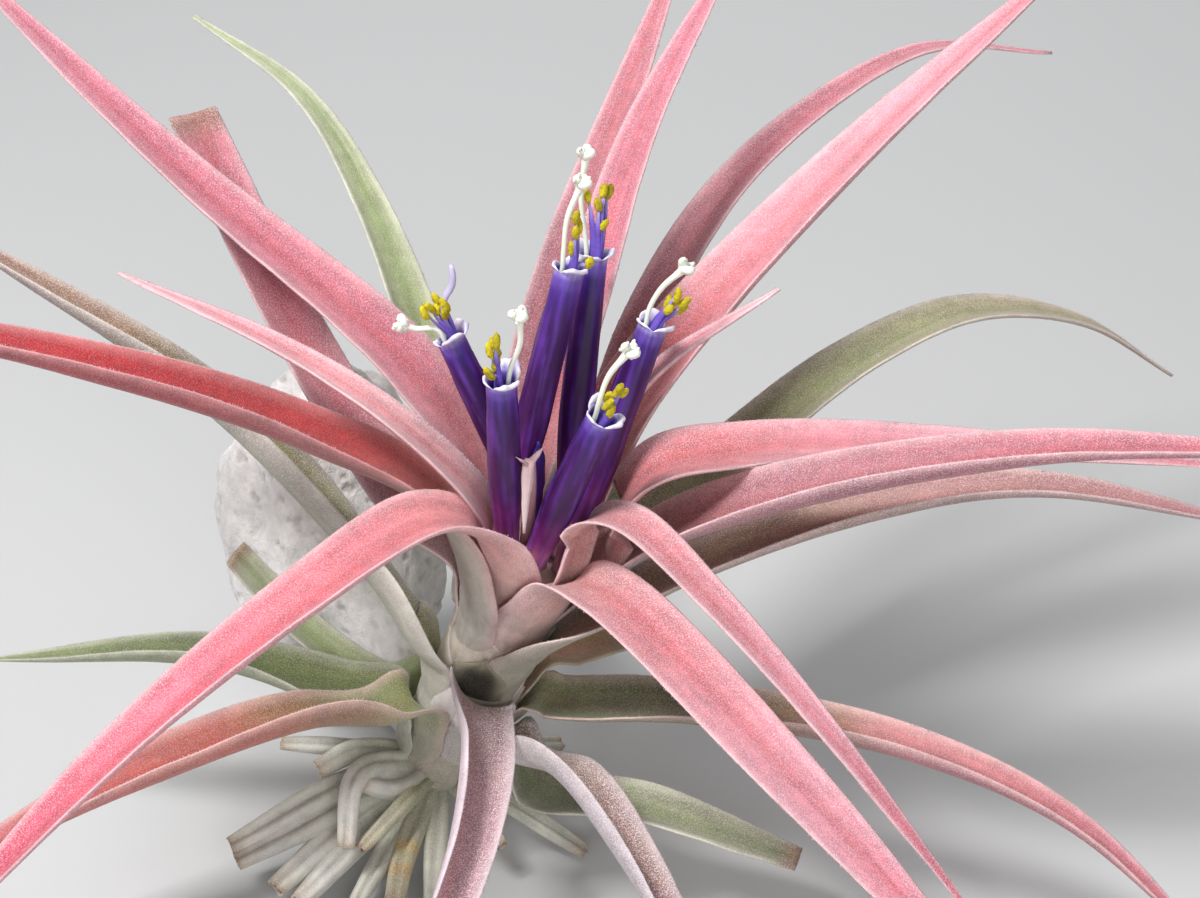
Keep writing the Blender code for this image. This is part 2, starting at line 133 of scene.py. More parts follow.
def curve_points(stops, count, crowding=1.35):
    """Points with their shares along a smooth curve through the stops, crowded near its start."""
    stops = [2 * stops[0] - stops[1], *stops, 2 * stops[-1] - stops[-2]]
    dense = []
    for a, b, c, d in zip(stops, stops[1:], stops[2:], stops[3:]):
        k1 = (b - a).length ** 0.5
        k2 = k1 + (c - b).length ** 0.5
        k3 = k2 + (d - c).length ** 0.5
        for i in range(SPAN_POINTS):
            k = mix(k1, k2, i / SPAN_POINTS)
            ab = mix(a, b, k / k1)
            bc = mix(b, c, (k - k1) / (k2 - k1))
            cd = mix(c, d, (k - k2) / (k3 - k2))
            abc = mix(ab, bc, k / k2)
            bcd = mix(bc, cd, (k - k1) / (k3 - k1))
            dense.append(mix(abc, bcd, (k - k1) / (k2 - k1)))
    dense.append(stops[-2])
    runs = [0.0]
    for p, q in zip(dense, dense[1:]):
        runs.append(runs[-1] + (q - p).length)
    points = []
    j = 1
    for i in range(count + 1):
        share = (i / count) ** crowding
        target = share * runs[-1]
        while j < len(runs) - 1 and runs[j] < target - 1e-9:
            j += 1
        part = (target - runs[j - 1]) / (runs[j] - runs[j - 1])
        points.append((share, mix(dense[j - 1], dense[j], part)))
    return points, runs[-1]


def heading(stations, i):
    """Direction of such a curve at its point i."""
    return (stations[min(i + 1, len(stations) - 1)][1] - stations[max(i - 1, 0)][1]).normalized()


def placed(name, data):
    """An object of this name in the scene that shows this data."""
    made = bpy.data.objects.new(name, data)
    bpy.context.scene.collection.objects.link(made)
    return made


class Skin:
    """Points, faces and the painted values of one piece while it is made."""

    def __init__(self):
        self.points, self.faces, self.tints, self.scurf, self.grain = [], [], [], [], []

    def add(self, point, tint, scurf=0.0, grain=(0, 0, 0)):
        self.points.append(point)
        self.tints.append(tint)
        self.scurf.append(scurf)
        self.grain.append(grain)
        return len(self.points) - 1

    def rings(self, rings):
        """Joins rings of point numbers, each closed on itself, and closes both ends."""
        for a, b in zip(rings, rings[1:]):
            n = len(a)
            for k in range(n):
                self.faces.append((a[k], a[(k + 1) % n], b[(k + 1) % n], b[k]))
        self.faces.append(tuple(reversed(rings[0])))
        self.faces.append(tuple(rings[-1]))

    def piece(self, material, slot, *nodes):
        """The finished piece, named after its solid: it stands for it and rides on the one body."""
        name = "dressed_" + nodes[0]
        mesh = bpy.data.meshes.new(name)
        mesh.from_pydata([(HEAD + p) * MM for p in self.points], [], self.faces)
        shape = bmesh.new()
        shape.from_mesh(mesh)
        bmesh.ops.triangulate(shape, faces=[f for f in shape.faces if len(f.verts) > 4])
        bmesh.ops.recalc_face_normals(shape, faces=shape.faces)
        shape.to_mesh(mesh)
        shape.free()
        mesh.shade_smooth()
        tint = mesh.attributes.new("tint", "FLOAT_COLOR", "POINT")
        tint.data.foreach_set("color", [v for c in self.tints for v in (*c, 1.0)])
        mesh.attributes.new("scurf", "FLOAT", "POINT").data.foreach_set("value", self.scurf)
        mesh.attributes.new("grain", "FLOAT_VECTOR", "POINT").data.foreach_set(
            "vector", [v for g in self.grain for v in g])
        mesh.materials.append(material)
        made = placed(name, mesh)
        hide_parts(*nodes)
        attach(made, "root")


# Materials: each takes its colour from the painted tint and adds fine detail in the surface

# Noise waves to a metre
MOTTLE_WAVES = 420
RELIEF_WAVES = 2600
GLOSS_WAVES = 700
SCURF_WAVES = 5000


def skin_material(name, roughness, sheen=0.0, speckle=0.0, streaks=0.0, mottle=0.0, bump=0.0,
                  coat=0.0):
    """A painted surface with scurf speckles, lengthwise streaks, soft mottling and fine relief."""
    made = bpy.data.materials.new(name)
    made.use_nodes = True
    nodes, links = made.node_tree.nodes, made.node_tree.links
    shader = nodes["Principled BSDF"]
    for key, value in (("Sheen Weight", sheen), ("Sheen Roughness", 0.45),
                       ("Coat Weight", coat), ("Coat Roughness", 0.35)):
        shader.inputs[key].default_value = value

    def node(kind, inputs=(), **settings):
        """A node with its settings; each of its inputs is given a plain value or a link."""
        item = nodes.new(kind)
        for key, value in settings.items():
            setattr(item, key, value)
        for key, value in dict(inputs).items():
            if isinstance(value, (int, float, tuple)):
                item.inputs[key].default_value = value
            else:
                links.new(value, item.inputs[key])
        return item.outputs

    def painted(attribute):
        return node("ShaderNodeAttribute", attribute_type="GEOMETRY", attribute_name=attribute)

    def texture(scale, detail, source=None):
        return node("ShaderNodeTexNoise", {"Scale": scale, "Detail": detail,
                                           "Vector": source or place})["Fac"]

    def ranged(source, low, high, to_low, to_high):
        return node("ShaderNodeMapRange", {"From Min": low, "From Max": high, "To Min": to_low,
                                           "To Max": to_high, "Value": source})["Result"]

    def maths(operation, a, b):
        return node("ShaderNodeMath", {0: a, 1: b}, operation=operation)["Value"]

    def brightened(colour, amount):
        return node("ShaderNodeHueSaturation", {"Color": colour, "Value": amount})["Color"]

    place = node("ShaderNodeTexCoord")["Object"]
    colour = painted("tint")["Color"]
    if mottle:
        colour = brightened(colour, ranged(texture(MOTTLE_WAVES, 3), 0.3, 0.7, 1 - mottle, 1 + mottle))
    height = texture(RELIEF_WAVES, 2)
    if streaks:
        lines = texture(1.0, 2, painted("grain")["Vector"])
        colour = brightened(colour, ranged(lines, 0.3, 0.7, 1 - streaks, 1 + streaks))
        height = maths("ADD", height, maths("MULTIPLY", lines, 0.6))
    rough = ranged(texture(GLOSS_WAVES, 2), 0.3, 0.7, roughness - 0.07, roughness + 0.07)
    if speckle:
        dots = texture(SCURF_WAVES, 1)
        shown = ranged(dots, 0.46, 0.66, 0, speckle)
        amount = maths("MULTIPLY", shown, painted("scurf")["Fac"])
        colour = node("ShaderNodeMix", {0: amount, 6: colour, 7: (*WHITE_SCURF, 1)},
                      data_type="RGBA", blend_type="MIX")[2]
        height = maths("ADD", height, maths("MULTIPLY", ranged(dots, 0.5, 0.7, 0, 1), 0.8))
    links.new(colour, shader.inputs["Base Color"])
    links.new(rough, shader.inputs["Roughness"])
    if bump:
        relief = node("ShaderNodeBump", {"Strength": 0.55, "Distance": bump * MM, "Height": height})
        links.new(relief["Normal"], shader.inputs["Normal"])
    return made


LEAF_SKIN = skin_material("leaf_skin", 0.56, sheen=0.2, speckle=0.8, streaks=0.14, mottle=0.12,
                          bump=0.14)
PETAL_SKIN = skin_material("petal_skin", 0.42, streaks=0.1, mottle=0.16, bump=0.05, coat=0.04)
POLLEN_SKIN = skin_material("pollen_skin", 0.85, mottle=0.12, bump=0.2)
STYLE_SKIN = skin_material("style_skin", 0.35, mottle=0.04, bump=0.05, coat=0.15)
PAPER_SKIN = skin_material("papery_skin", 0.7, sheen=0.1, streaks=0.12, mottle=0.08, bump=0.08)
STONE_SKIN = skin_material("stone_skin", 0.92, mottle=0.1, bump=0.5)


# Leaves

def leaf_frames(stops, root_side, root_inner, width_at, curl_at, roll_at, settle, steps):
    """Frames along a blade: share, middle, side, inner direction, turn from rim to rim, bend radius."""
    stations, length = curve_points(stops, steps)
    spread = stops[-1] - stops[min(2, len(stops) - 2)]
    level_side = Vector((-spread.y, spread.x, 0)).normalized()
    if level_side.dot(root_side) < 0:
        level_side = -level_side
    frames = []
    for i, (share, point) in enumerate(stations):
        forward = heading(stations, i)
        side = mix(root_side, level_side, smooth(share / settle))
        side = (side - forward * side.dot(forward)).normalized()
        inner = forward.cross(side)
        if inner.dot(mix(root_inner, AXIS, smooth(2 * share / settle))) < 0:
            inner = -inner
        roll = radians(roll_at(share))
        side, inner = turned_to(side, inner, roll), turned_to(inner, -side, roll)
        bend = radians(curl_at(share))
        frames.append((share, point, side, inner, bend, width_at(share) / bend))
    return frames, length


def place_on(row, u):
    """Point and inner normal at u across a blade, -1 and 1 being its rims, and the sideways tangent."""
    _, point, side, inner, bend, hollow = row
    a = u * bend / 2
    spot = point + side * sin(a) * hollow + inner * (1 - cos(a)) * hollow
    return spot, turned_to(inner, -side, a), turned_to(side, inner, a)


def blade_skin(skin, frames, length, tint_at, scurf_at, seed, thick=BLADE_THICK, ridges=0.05,
               ripple=0.14, across=LEAF_ACROSS, cut=False):
    """A blade with rounded rims, faint lengthwise ridges and a rippled edge."""
    rings = []
    for row in frames:
        share = row[0]
        run = share * length
        thin = 1 if cut else mix(1, TIP_THIN, smooth((share - 0.8) / 0.2))

        def relief(u):
            lines = sin(u * 9.5 + seed) * sin(u * 4.1 + seed * 0.7)
            wave = noise_at(u * 1.6, run * 0.07, seed)
            edge = abs(u) ** 3 * noise_at(run * 0.16, seed * 3.1, u)
            return (lines * ridges + wave * 0.1 + edge * ripple) * smooth(share * 9)

        def half_thick(u):
            return thin * thick * mix(0.62, 0.30, abs(u) ** 2.5)

        def paint(spot, u, face):
            tint = tint_at(share, u, face)
            tone_and_light_patch = noise.noise(spot * 0.11 + Vector((seed, 0, 0)))
            return tint * (1 + 0.10 * tone_and_light_patch), scurf_at(share, u, face), (u * 4.2, run * 0.10, seed)

        ring = []
        top = [2 * k / across - 1 for k in range(across + 1)]
        for face, us in ((1, top), (-1, top[::-1])):
            for u in us:
                spot, normal, _ = place_on(row, u)
                spot = spot + normal * (relief(u) + face * half_thick(u))
                ring.append(skin.add(spot, *paint(spot, u, face)))
            u = us[-1]
            spot, normal, tangent = place_on(row, u)
            spot = spot + normal * relief(u) + tangent * u * half_thick(u) * 1.1
            ring.append(skin.add(spot, *paint(spot, u, 0)))
        rings.append(ring)
    skin.rings(rings)


def rim_hairs(skin, frames, length, tint_at, seed):
    """Short pale hairs that stand out from both rims, each a closed three-sided spike."""
    dice = random.Random(seed)
    for u in (-1, 1):
        run = HAIR_START * length
        i = 0
        while run < length * 0.997:
            share = run / length
            while i < len(frames) - 2 and frames[i + 1][0] < share:
                i += 1
            part = (share - frames[i][0]) / (frames[i + 1][0] - frames[i][0])
            a, n0, t0 = place_on(frames[i], u)
            b, n1, t1 = place_on(frames[i + 1], u)
            root, normal, tangent = mix(a, b, part), mix(n0, n1, part).normalized(), mix(t0, t1, part)
            forward = (b - a).normalized()
            lean = normal * dice.uniform(-0.9, 0.9) + tangent * u + forward * dice.uniform(-0.4, 0.9)
            lean.normalize()
            root = root + normal * dice.uniform(-0.16, 0.16)
            reach = HAIR_LONG * dice.uniform(0.5, 1.25) + BLADE_THICK * 0.3
            flat = forward * HAIR_WIDE * dice.uniform(0.6, 1.2)
            deep = lean.cross(flat).normalized() * HAIR_WIDE * 0.6
            tint = mix(tint_at(share, u, 1), WHITE_SCURF, dice.uniform(0.3, 0.75))
            corners = (root - flat, root + flat, root + deep, root + lean * reach)
            ids = [skin.add(corner, tint) for corner in corners]
            skin.faces.extend([(ids[0], ids[2], ids[1]), (ids[0], ids[1], ids[3]),
                               (ids[1], ids[2], ids[3]), (ids[2], ids[0], ids[3])])
            run += HAIR_EVERY * dice.uniform(0.5, 1.5)


def leaf(name, slot, look, drop, azimuth, *via, wide=12, curl=(66, 90, 50), roll=(0, 0, 0),
         sheath=8, wrap=40, taper=1.8, end=0):
    """A leaf that follows its solid: the sheath sits on the stem, drop mm below the head.

    Below the solid's foot the dressed sheath runs on and sinks in the stem as a rounded base.
    curl and roll are degrees at the blade's foot, middle and tip. end is the share of the width
    that is left where a leaf is cut, and 0 for a whole leaf.
    """
    name = "leaf_" + name
    out = outward(azimuth)
    radius = stem_radius(drop) + SHEATH_GAP + BLADE_THICK / 2
    foot = -AXIS * drop + out * radius
    rise = AXIS * cos(SHEATH_FLARE) + out * sin(SHEATH_FLARE)
    stops = [foot, foot + rise * sheath * 0.5, foot + rise * sheath, *map(Vector, via)]
    start = sheath / sum((b - a).length for a, b in zip(stops, stops[1:]))
    neck = start * 3
    wrap_turn = 2 * wrap
    seed = (len(name) * 7 + ord(name[-1]) + ord(name[-3])) * 0.37 + drop
    inner_shades, outer_shades, rim, scurfy, clasp, skirt_long, groove_shade_tint = look

    def at_stops(values, share):
        """Value at a share of the leaf from three at the foot, middle and tip of its blade."""
        return along(((0, values[0]), (0.5, values[1]), (1, values[2])), blade_share(share))

    def blade_share(share):
        return max(0.0, (share - start) / (1 - start))

    def width_at(share):
        t = blade_share(share)
        blade = mix(wide, wide * end, t * t) if end else mix(wide, 0.7, t ** taper)
        return mix(radius * radians(wrap_turn * clasp), blade, smooth(share / neck))

    def curl_at(share):
        return mix(wrap_turn * clasp, at_stops(curl, share), smooth(share / neck))

    def roll_at(share):
        return smooth(share / neck) * at_stops(roll, share)

    def tint_at(share, u, face):
        base = along(inner_shades if face > 0 else outer_shades, share)
        # Painted shade: the groove down the middle of the blade is darker and deeper in colour
        groove = exp(-((u + 0.18 * sin(seed)) / 0.26) ** 2)
        deep = Vector(a * b for a, b in zip(base, groove_shade_tint))
        base = mix(base, deep, groove * 0.75 * smooth(share * 5))
        if face == 0:
            base = mix(base, rim, 0.55)
        base = mix(base, rim, 0.42 * smooth((abs(u) - 0.72) / 0.28))
        if end:
            base = mix(base, DRY_BROWN, 0.8 * smooth((share - 0.93) / 0.06))
        return base

    def scurf_at(share, u, face):
        return min(1.0, scurfy * (0.75 + 0.6 * abs(u) ** 2) * (1.15 if face < 0 else 1))

    frames, length = leaf_frames(stops, AXIS.cross(out), -out, width_at, curl_at, roll_at, neck,
                                 LEAF_STEPS)
    skirt = []
    for j in range(SKIRT_STEPS):
        part = j / SKIRT_STEPS
        level = min(drop + skirt_long * (1 - part), STEM_LENGTH)
        reach = stem_radius(level) + mix(-0.3, SHEATH_GAP + BLADE_THICK / 2, smooth(part))
        half = wrap_turn * clasp * mix(0.35, 1, sin(part * pi / 2))
        skirt.append((0.0, -AXIS * level + out * reach, AXIS.cross(out), -out, radians(half), reach))
    frames = skirt + frames
    skin = Skin()
    blade_skin(skin, frames, length, tint_at, scurf_at, seed, cut=bool(end))
    rim_hairs(skin, frames, length, tint_at, name)
    skin.piece(LEAF_SKIN, "leaf_" + slot, name)


# Colours of the leaves

def tones(inner, outer, rim="F0C9C8", scurf=0.6, clasp=1.25, skirt=7, groove=GROOVE_SHADE_PINK):
    """A leaf's look: colours from its sheath (0) to its tip (1) on its inner and outer face, pale rim,
    scurf, how far its sheath clasps the stem and runs down it, and what darkens its groove as painted
    shade.
    """
    return shades(inner), shades(outer), shade(rim), scurf, clasp, skirt, groove


PINK = tones(
    "0 DDB4AC, 0.12 D08A8C, 0.3 C96A78, 0.6 C76878, 0.85 CC7082, 1 DC9CA6",
    "0 DDB8AC, 0.2 D28C88, 0.5 B45868, 1 B8606F")
PINK_PALE = tones(
    "0 DDBDB2, 0.25 DC9E9C, 0.7 DB9098, 1 ECC0C4",
    "0 D3C8BC, 0.3 D49E9C, 1 CC8490", scurf=0.7)
PINK_HOT = tones(
    "0 CFA79C, 0.1 D8827E, 0.3 D6707A, 0.55 DA6578, 0.85 CF4A64, 1 D0566E",
    "0 DCB4A8, 0.14 D08682, 0.3 C25A66, 0.6 C64A5E, 1 BC4860", clasp=1.4)
RED = tones(
    "0 C79A8C, 0.12 BC625A, 0.3 B63A38, 0.6 BC3034, 0.85 AA282E, 1 B03C44",
    "0 C6C0B4, 0.12 AFA698, 0.3 94504E, 0.55 A03A40, 1 A03C46", rim="E6ACAA", scurf=0.2)
PEACH = tones(
    "0 D9B7A9, 0.1 C99088, 0.3 D07A80, 0.6 DC8C98, 1 D46678",
    "0 DCC0B4, 0.1 D2A096, 0.25 BE827C, 0.5 C2747C, 1 C45C6C", scurf=0.8)
CORAL = tones(
    "0 CDA094, 0.12 B8605A, 0.3 C9686A, 0.5 DE8C96, 0.75 E29AA6, 1 D4707E",
    "0 D8A498, 0.2 C66E68, 0.5 B05660, 1 AE5462", scurf=0.7)
ROSE = tones(
    "0 B39E8E, 0.15 A87470, 0.4 B06A72, 0.75 C06874, 1 CE7480",
    "0 B3B1A2, 0.15 94807A, 0.4 A05C66, 0.75 AC5A66, 1 C06876")
OLIVE = tones(
    "0 9C9B78, 0.2 7F8150, 0.5 868A5A, 0.8 9A8E68, 1 AE907C",
    "0 AAAD94, 0.2 8C8C68, 0.5 8E8E6E, 0.8 9E8E74, 1 AE8C7E", rim="DCD6C4", scurf=0.55,
    groove=GROOVE_SHADE_GREEN)
OLIVE_MAUVE = tones(
    "0 A39E82, 0.12 8C6C4C, 0.3 9A7C5E, 0.6 A87870, 1 B87A7C",
    "0 B3B39C, 0.2 969078, 0.5 967A70, 1 A27274", rim="DCC6BA")
OLD_LEFT = tones(
    "0 84884F, 0.2 6C7238, 0.5 7A7A40, 0.75 8A6C4C, 1 926458",
    "0 C3C3B2, 0.2 B4B4A2, 0.4 A3A08E, 0.7 8E8070, 1 8A6860", rim="DCD9CA", clasp=1.6,
    skirt=9, groove=GROOVE_SHADE_GREEN)
GREEN = tones(
    "0 98A070, 0.2 6C7A3C, 0.6 68783C, 1 828C5C",
    "0 B4B9A2, 0.2 929C78, 0.6 87936A, 1 929C74", rim="D2D5C2", scurf=0.36, groove=GROOVE_SHADE_GREEN)
PALE_GREEN = tones(
    "0 8C965C, 0.2 87945A, 0.5 9AA676, 1 B0B894",
    "0 BABFA8, 0.3 A9B28E, 1 B6BC9E", rim="DDE0CC", scurf=0.45, groove=GROOVE_SHADE_GREEN)
LOWER_LEFT = tones(
    "0 727A3C, 0.18 68722E, 0.32 8A6034, 0.46 AA4E3C, 0.75 BA5650, 1 CC7886",
    "0 A9AA92, 0.12 8A8C5A, 0.24 94704A, 0.4 B65A42, 0.8 BC5654, 1 C06A72", rim="E6C4BC",
    scurf=0.32)
LOWER_RIGHT = tones(
    "0 848A5A, 0.2 626C3A, 0.38 8A7048, 0.55 BC7474, 1 CE7280",
    "0 A6A88C, 0.2 84865A, 0.4 987460, 0.6 B46A72, 1 B85C6A", rim="E6C6BE", scurf=0.45)
# The inner face is painted nearly black at its sheath and fades up the blade: painted shadow in the cup
# between the blade and the stem
DROOPING = tones(
    "0 1A1910, 0.07 39341F, 0.13 6E6448, 0.24 98807A, 0.5 A87E80, 1 B4787E",
    "0 D3D0C6, 0.2 CFC6C8, 0.5 C8B4BC, 1 C4A0AA", rim="F0E6E8", scurf=1.0)
GREY_MAUVE = tones(
    "0 7E7858, 0.2 76694A, 0.5 866C5C, 1 98746E",
    "0 BEBDB2, 0.2 B0AAA4, 0.5 A8A0A2, 1 A89AA0", rim="DCD4D2", scurf=1.0)
GREY_GREEN = tones(
    "0 9A9E7E, 0.3 767F58, 1 828866",
    "0 B3B7A2, 0.3 90987C, 1 94997E", rim="CCCDB8", scurf=0.5, groove=GROOVE_SHADE_GREEN)
STUB_BROWN = tones(
    "0 9A7E54, 0.3 A0743F, 1 94825A",
    "0 A89F78, 0.4 988450, 1 928860", rim="D2C4A0", scurf=0.4)


def add_upper_leaves():
    """The pink and peach leaves round the flowers, innermost first."""
    leaf("right_small", "pink", PINK_PALE, 0, 42, (14, 9, 19), (21, 9, 31), (41, 17, 42), wide=6,
         wrap=20, sheath=5)
    leaf("left_small", "pink", PINK_PALE, 0, 165, (-11, 0, 15), (-22, 0, 27), (-40, 6, 37),
         (-66, 14, 46.5), wide=9, wrap=22, sheath=4, curl=(70, 100, 60))
    leaf("front_right_narrow", "pink", PEACH, 0, 305, (9.5, -8.5, 13), (16, -13.5, 16.5), (30, -26, 9),
         (46, -41, -3), (68, -55, -27), wide=9, wrap=14, sheath=3, curl=(60, 60, 30), taper=1.4)
    leaf("back_inner", "pink", PINK, 3, 95, (4.2, 15, 20.2), (11, 23, 41), (19, 38, 61), (36, 60, 87),
         wide=12, wrap=32)
    leaf("front_left", "pink", PINK_HOT, 4, 226, (-8, -9, 11), (-15, -13, 16), (-34, -32, 13),
         (-63, -52, -3), (-94, -68, -30), wide=14, wrap=46, curl=(80, 130, 80), taper=2.2)
    leaf("right", "pink", CORAL, 4.5, 0, (20, -1.5, 17.5), (36, 2, 19.5), (69, 6, 18), (114, 0, 18.5),
         wide=16, wrap=26, curl=(66, 80, 50))
    leaf("back", "mauve", ROSE, 6.3, 97, (0.5, 20.5, 16.5), (6, 30, 38.5), (16, 49, 61), (27, 72, 83),
         wide=12.5, wrap=32)
    leaf("right_high", "pink", CORAL, 8.5, 64, (13.5, 16, 12), (20.5, 20, 22.5), (53, 38, 53),
         (94, 58, 86), wide=19, wrap=28, curl=(66, 120, 80))
    leaf("left_high", "pink", PINK, 8.5, 154, (-10, 10, 13), (-21, 15.5, 28), (-56, 30, 54.5),
         (-97, 50, 89), wide=16, wrap=22)
    leaf("front_right", "peach", PEACH, 9, 291, (7, -11.8, 3.2), (13.5, -18, 4.4), (42, -50, -8),
         (71, -76, -28), wide=13, wrap=38, curl=(60, 40, 25), taper=3)
    leaf("back_right", "mauve", ROSE, 12.5, 76, (12, 23, 7), (20, 34, 25), (32, 50, 40), (47, 60, 52),
         (70, 74, 60), (94, 80, 57), wide=12.5, wrap=32)
    leaf("left_red", "red", RED, 12.5, 215, (-16, 1.5, 9.5), (-36, -5, 26), (-64, -14, 43),
         (-92, -21, 55), (-116, -27, 59), wide=18, wrap=33, curl=(66, 150, 110), roll=(0, 6, 6),
         taper=2.4)
    leaf("right_dark", "pink", ROSE, 9.5, 354, (21.5, -4, 6), (43, -14, 21), (80, -22, 34),
         (119, -27, 38), wide=17, wrap=24, curl=(66, 165, 110), taper=2.2)


def add_middle_leaves():
    """The olive and pale leaves under the pink ones, most of them behind the plant."""
    leaf("back_left_cut", "pink", ROSE, 14.5, 157, (-19, 7.5, 3), (-27, 11, 13), (-42, 26, 33),
         (-58, 46, 60), wide=12, wrap=28, end=0.8)
    leaf("right_arched", "olive", OLIVE, 16, 34, (15, 10, -5), (30, 18, 3), (55, 30, 19), (76, 39, 25),
         (98, 46, 19.5), (116, 49, 7), wide=17, wrap=32)
    leaf("back_pale", "pale_green", PALE_GREEN, 18.5, 114, (-11, 14, -1), (-15, 22, 14), (-29, 50, 41),
         (-41, 63, 56), (-60, 70, 68), wide=11, wrap=30)
    leaf("right_low", "olive", OLIVE_MAUVE, 18.5, 316, (28, -6, 2), (76, -7, 18), (121, -4, 9), wide=13,
         wrap=42, curl=(66, 150, 100), taper=2.2)
    leaf("left_old", "olive", OLD_LEFT, 31, 189, (-20, -1.5, -16), (-28, 1, -3), (-54, 12, 22.6),
         (-99, 24, 52), wide=20, wrap=34, curl=(80, 150, 100), roll=(36, 26, 14), taper=2.2)
    leaf("back_low_right", "olive", OLIVE, 25, 55, (6, 16, -14), (22, 34, -4), (48, 62, -12), wide=13,
         wrap=32)
    leaf("back_low", "green", GREEN, 33, 89, (-9, 19, -24), (-7, 40, -18), (2, 74, -30), wide=13,
         wrap=32)


def add_lower_leaves():
    """The old green and mauve leaves that spread just above the surface."""
    leaf("right_lower", "pink", LOWER_RIGHT, 33, 341, (3, -2, -29), (28, -10, -25), (61, -21, -24),
         (88, -31, -31), (112, -44, -48), wide=15, wrap=31, curl=(80, 150, 100), roll=(0, -14, -10),
         taper=2.2)
    leaf("left_cut", "pale_green", PALE_GREEN, 44.5, 146, (-28, 11, -34), (-41, 15.5, -26.8),
         (-53, 19, -12), wide=10, wrap=24, end=0.7)
    leaf("right_stub", "green", STUB_BROWN, 29.5, 22, (7, 9, -26), (26, 14, -24), wide=10, wrap=28,
         end=0.6)
    leaf("left_level", "green", GREEN, 42.5, 191, (-33, 2, -30), (-58, 4, -24), (-95, 9, -27.5),
         wide=16, wrap=24, curl=(66, 160, 100), roll=(0, 12, 8))
    leaf("front_drooping", "mauve", DROOPING, 32.5, 267, (-10, -12, -21), (-9, -24, -23),
         (-11, -43, -28), (-18, -65, -42), wide=14.5, wrap=38, curl=(130, 170, 110),
         roll=(-46, -50, -30), taper=3)
    leaf("left_lower", "peach", LOWER_LEFT, 39, 214, (-25, -8.7, -27), (-38, -15.3, -23.2),
         (-69, -29, -27), (-99, -43, -35), wide=18, wrap=32, curl=(130, 140, 100), roll=(32, 14, 8),
         taper=2.4)
    leaf("front_right_lower", "mauve", GREY_MAUVE, 36.5, 294, (-4, -12, -32), (5, -21, -29),
         (16, -37, -34), (32, -58, -50), wide=16, wrap=36, curl=(100, 160, 100), roll=(-40, -36, -22),
         taper=2.6)
    leaf("right_cut", "green", GREY_GREEN, 44, 328, (0, -7, -44), (20, -16, -41), (45, -24, -45),
         wide=13, wrap=30, end=0.4)


# Flowers

# Each flower: name, azimuth of its foot, places of its mouth, middle anther and stigma, anthers'
# length, and how far each is to the style's side, across and above the middle one
BLOOMS = (
    ("front_left", 221, (-3.5, -11, 41), (-3.8, -12.5, 48), (-0.5, -12.5, 53), 1.4,
     ((0, 0.4, -0.6), (0.3, -0.5, 0.6), (-0.6, 0.1, -1.6), (0.2, 0.5, -3), (-0.9, -0.6, -5.4),
      (-0.3, -0.2, -4.2))),
    ("left", 66, (-12.3, 9, 37), (-14.5, 9, 41.9), (-20, 9, 39.7), 1.3,
     ((-1.5, 0.5, 0.6), (-0.3, -0.8, 1.4), (1.0, 0.3, 1.0), (0.6, -0.6, 0), (-0.6, 0.8, -0.4),
      (2.0, 0, 0.2))),
    ("centre_left", 178, (6.8, 6, 51.2), (7.8, 7, 59), (8.8, 8, 65.2), 1.25,
     ((0.4, 0, 0.4), (0.2, 0.8, -1.8), (-0.2, -0.6, -1.2), (0.6, 0.4, -4.6), (-2.4, 0.3, -6.4),
      (0, -0.6, -5.4))),
    ("centre_right", 22, (10.6, 13.5, 49.7), (11.2, 15.5, 58.7), (9.5, 15.5, 66.7), 1.3,
     ((-0.4, 0.3, 1.2), (-1.1, -0.4, 1.0), (0.1, 0.6, -1.0), (-0.9, 0.2, -4.4), (1.8, 0, 0),
      (-0.2, -0.5, -3))),
    ("right_back", 342, (20, 6, 41), (23, 6.5, 46), (25, 7, 51), 1.3,
     ((0.2, 0.4, 0.4), (-0.4, -0.5, -0.8), (-1.6, 0.2, -0.6), (0, 0.3, -2.4), (-1.9, -0.5, -2),
      (0.5, -0.4, -1.6))),
    ("right_front", 262, (12, -12, 35), (14, -13, 40.5), (16, -12.5, 47), 1.35,
     ((-0.2, 0.3, 0.6), (-0.5, -0.5, -0.8), (0.3, 0.1, -0.2), (0.9, 0.3, -3.2), (1.2, -0.2, -2.4),
      (0, 0.6, -4))),
)
PETAL_SHADES = shades("0 D8A0A8, 0.12 BE7094, 0.27 762A74, 0.46 420C56, 0.82 3A0C5E, 0.9 3E1C7C, "
                      "0.95 6E56B4, 0.985 BCB0E4")
# The lit violet that the tubes' painted highlights are mixed towards
PETAL_LIT = shade("663AA6")
LIP, LIP_LOW = shade("EDE8F6"), shade("A496DA")
# The dark painted shade deep in the throat, and the throat's colour by its rim
THROAT, THROAT_RIM = shade("3A2078"), shade("7A62BC")
TUBE_OUTLINE = ((0, TUBE_FOOT_RADIUS), (0.2, 2.1), (0.5, TUBE_RADIUS), (0.78, 2.62), (0.93, 2.4),
                (1, 2.38))
PETAL_TWIST = 0.62
THROAT_FLOOR_LIFT = 0.4
# Rings of the rolled-back lips: lift and spread of a petal's tip, step where petals lap, paleness
LIP_RINGS = (
    (0.5, 0.08, 0.30, 0.35), (1.0, 0.26, 0.26, 0.75), (1.4, 0.56, 0.2, 1.0), (1.5, 0.88, 0.14, 1.0),
    (1.25, 1.12, 0.1, 0.95), (0.9, 1.12, 0.1, 0.7), (0.66, 0.92, 0.08, 0.6), (0.8, 0.6, 0.08, 0.7),
    (0.9, 0.3, 0.05, 0.5),
)
# Rings down the throat: depth, radius, darkness of the painted shade there
THROAT_RINGS = ((0.1, 2.1, 0.3), (0.8, 1.95, 0.6), (2.2, 1.85, 1.0), (5, 1.8, 1.0),
                (TUBE_THROAT_DEPTH, 1.7, 1.0))
FILAMENT_VIOLET = shade("6A50B4")
FILAMENT_PALE = shade("C9C4E4")
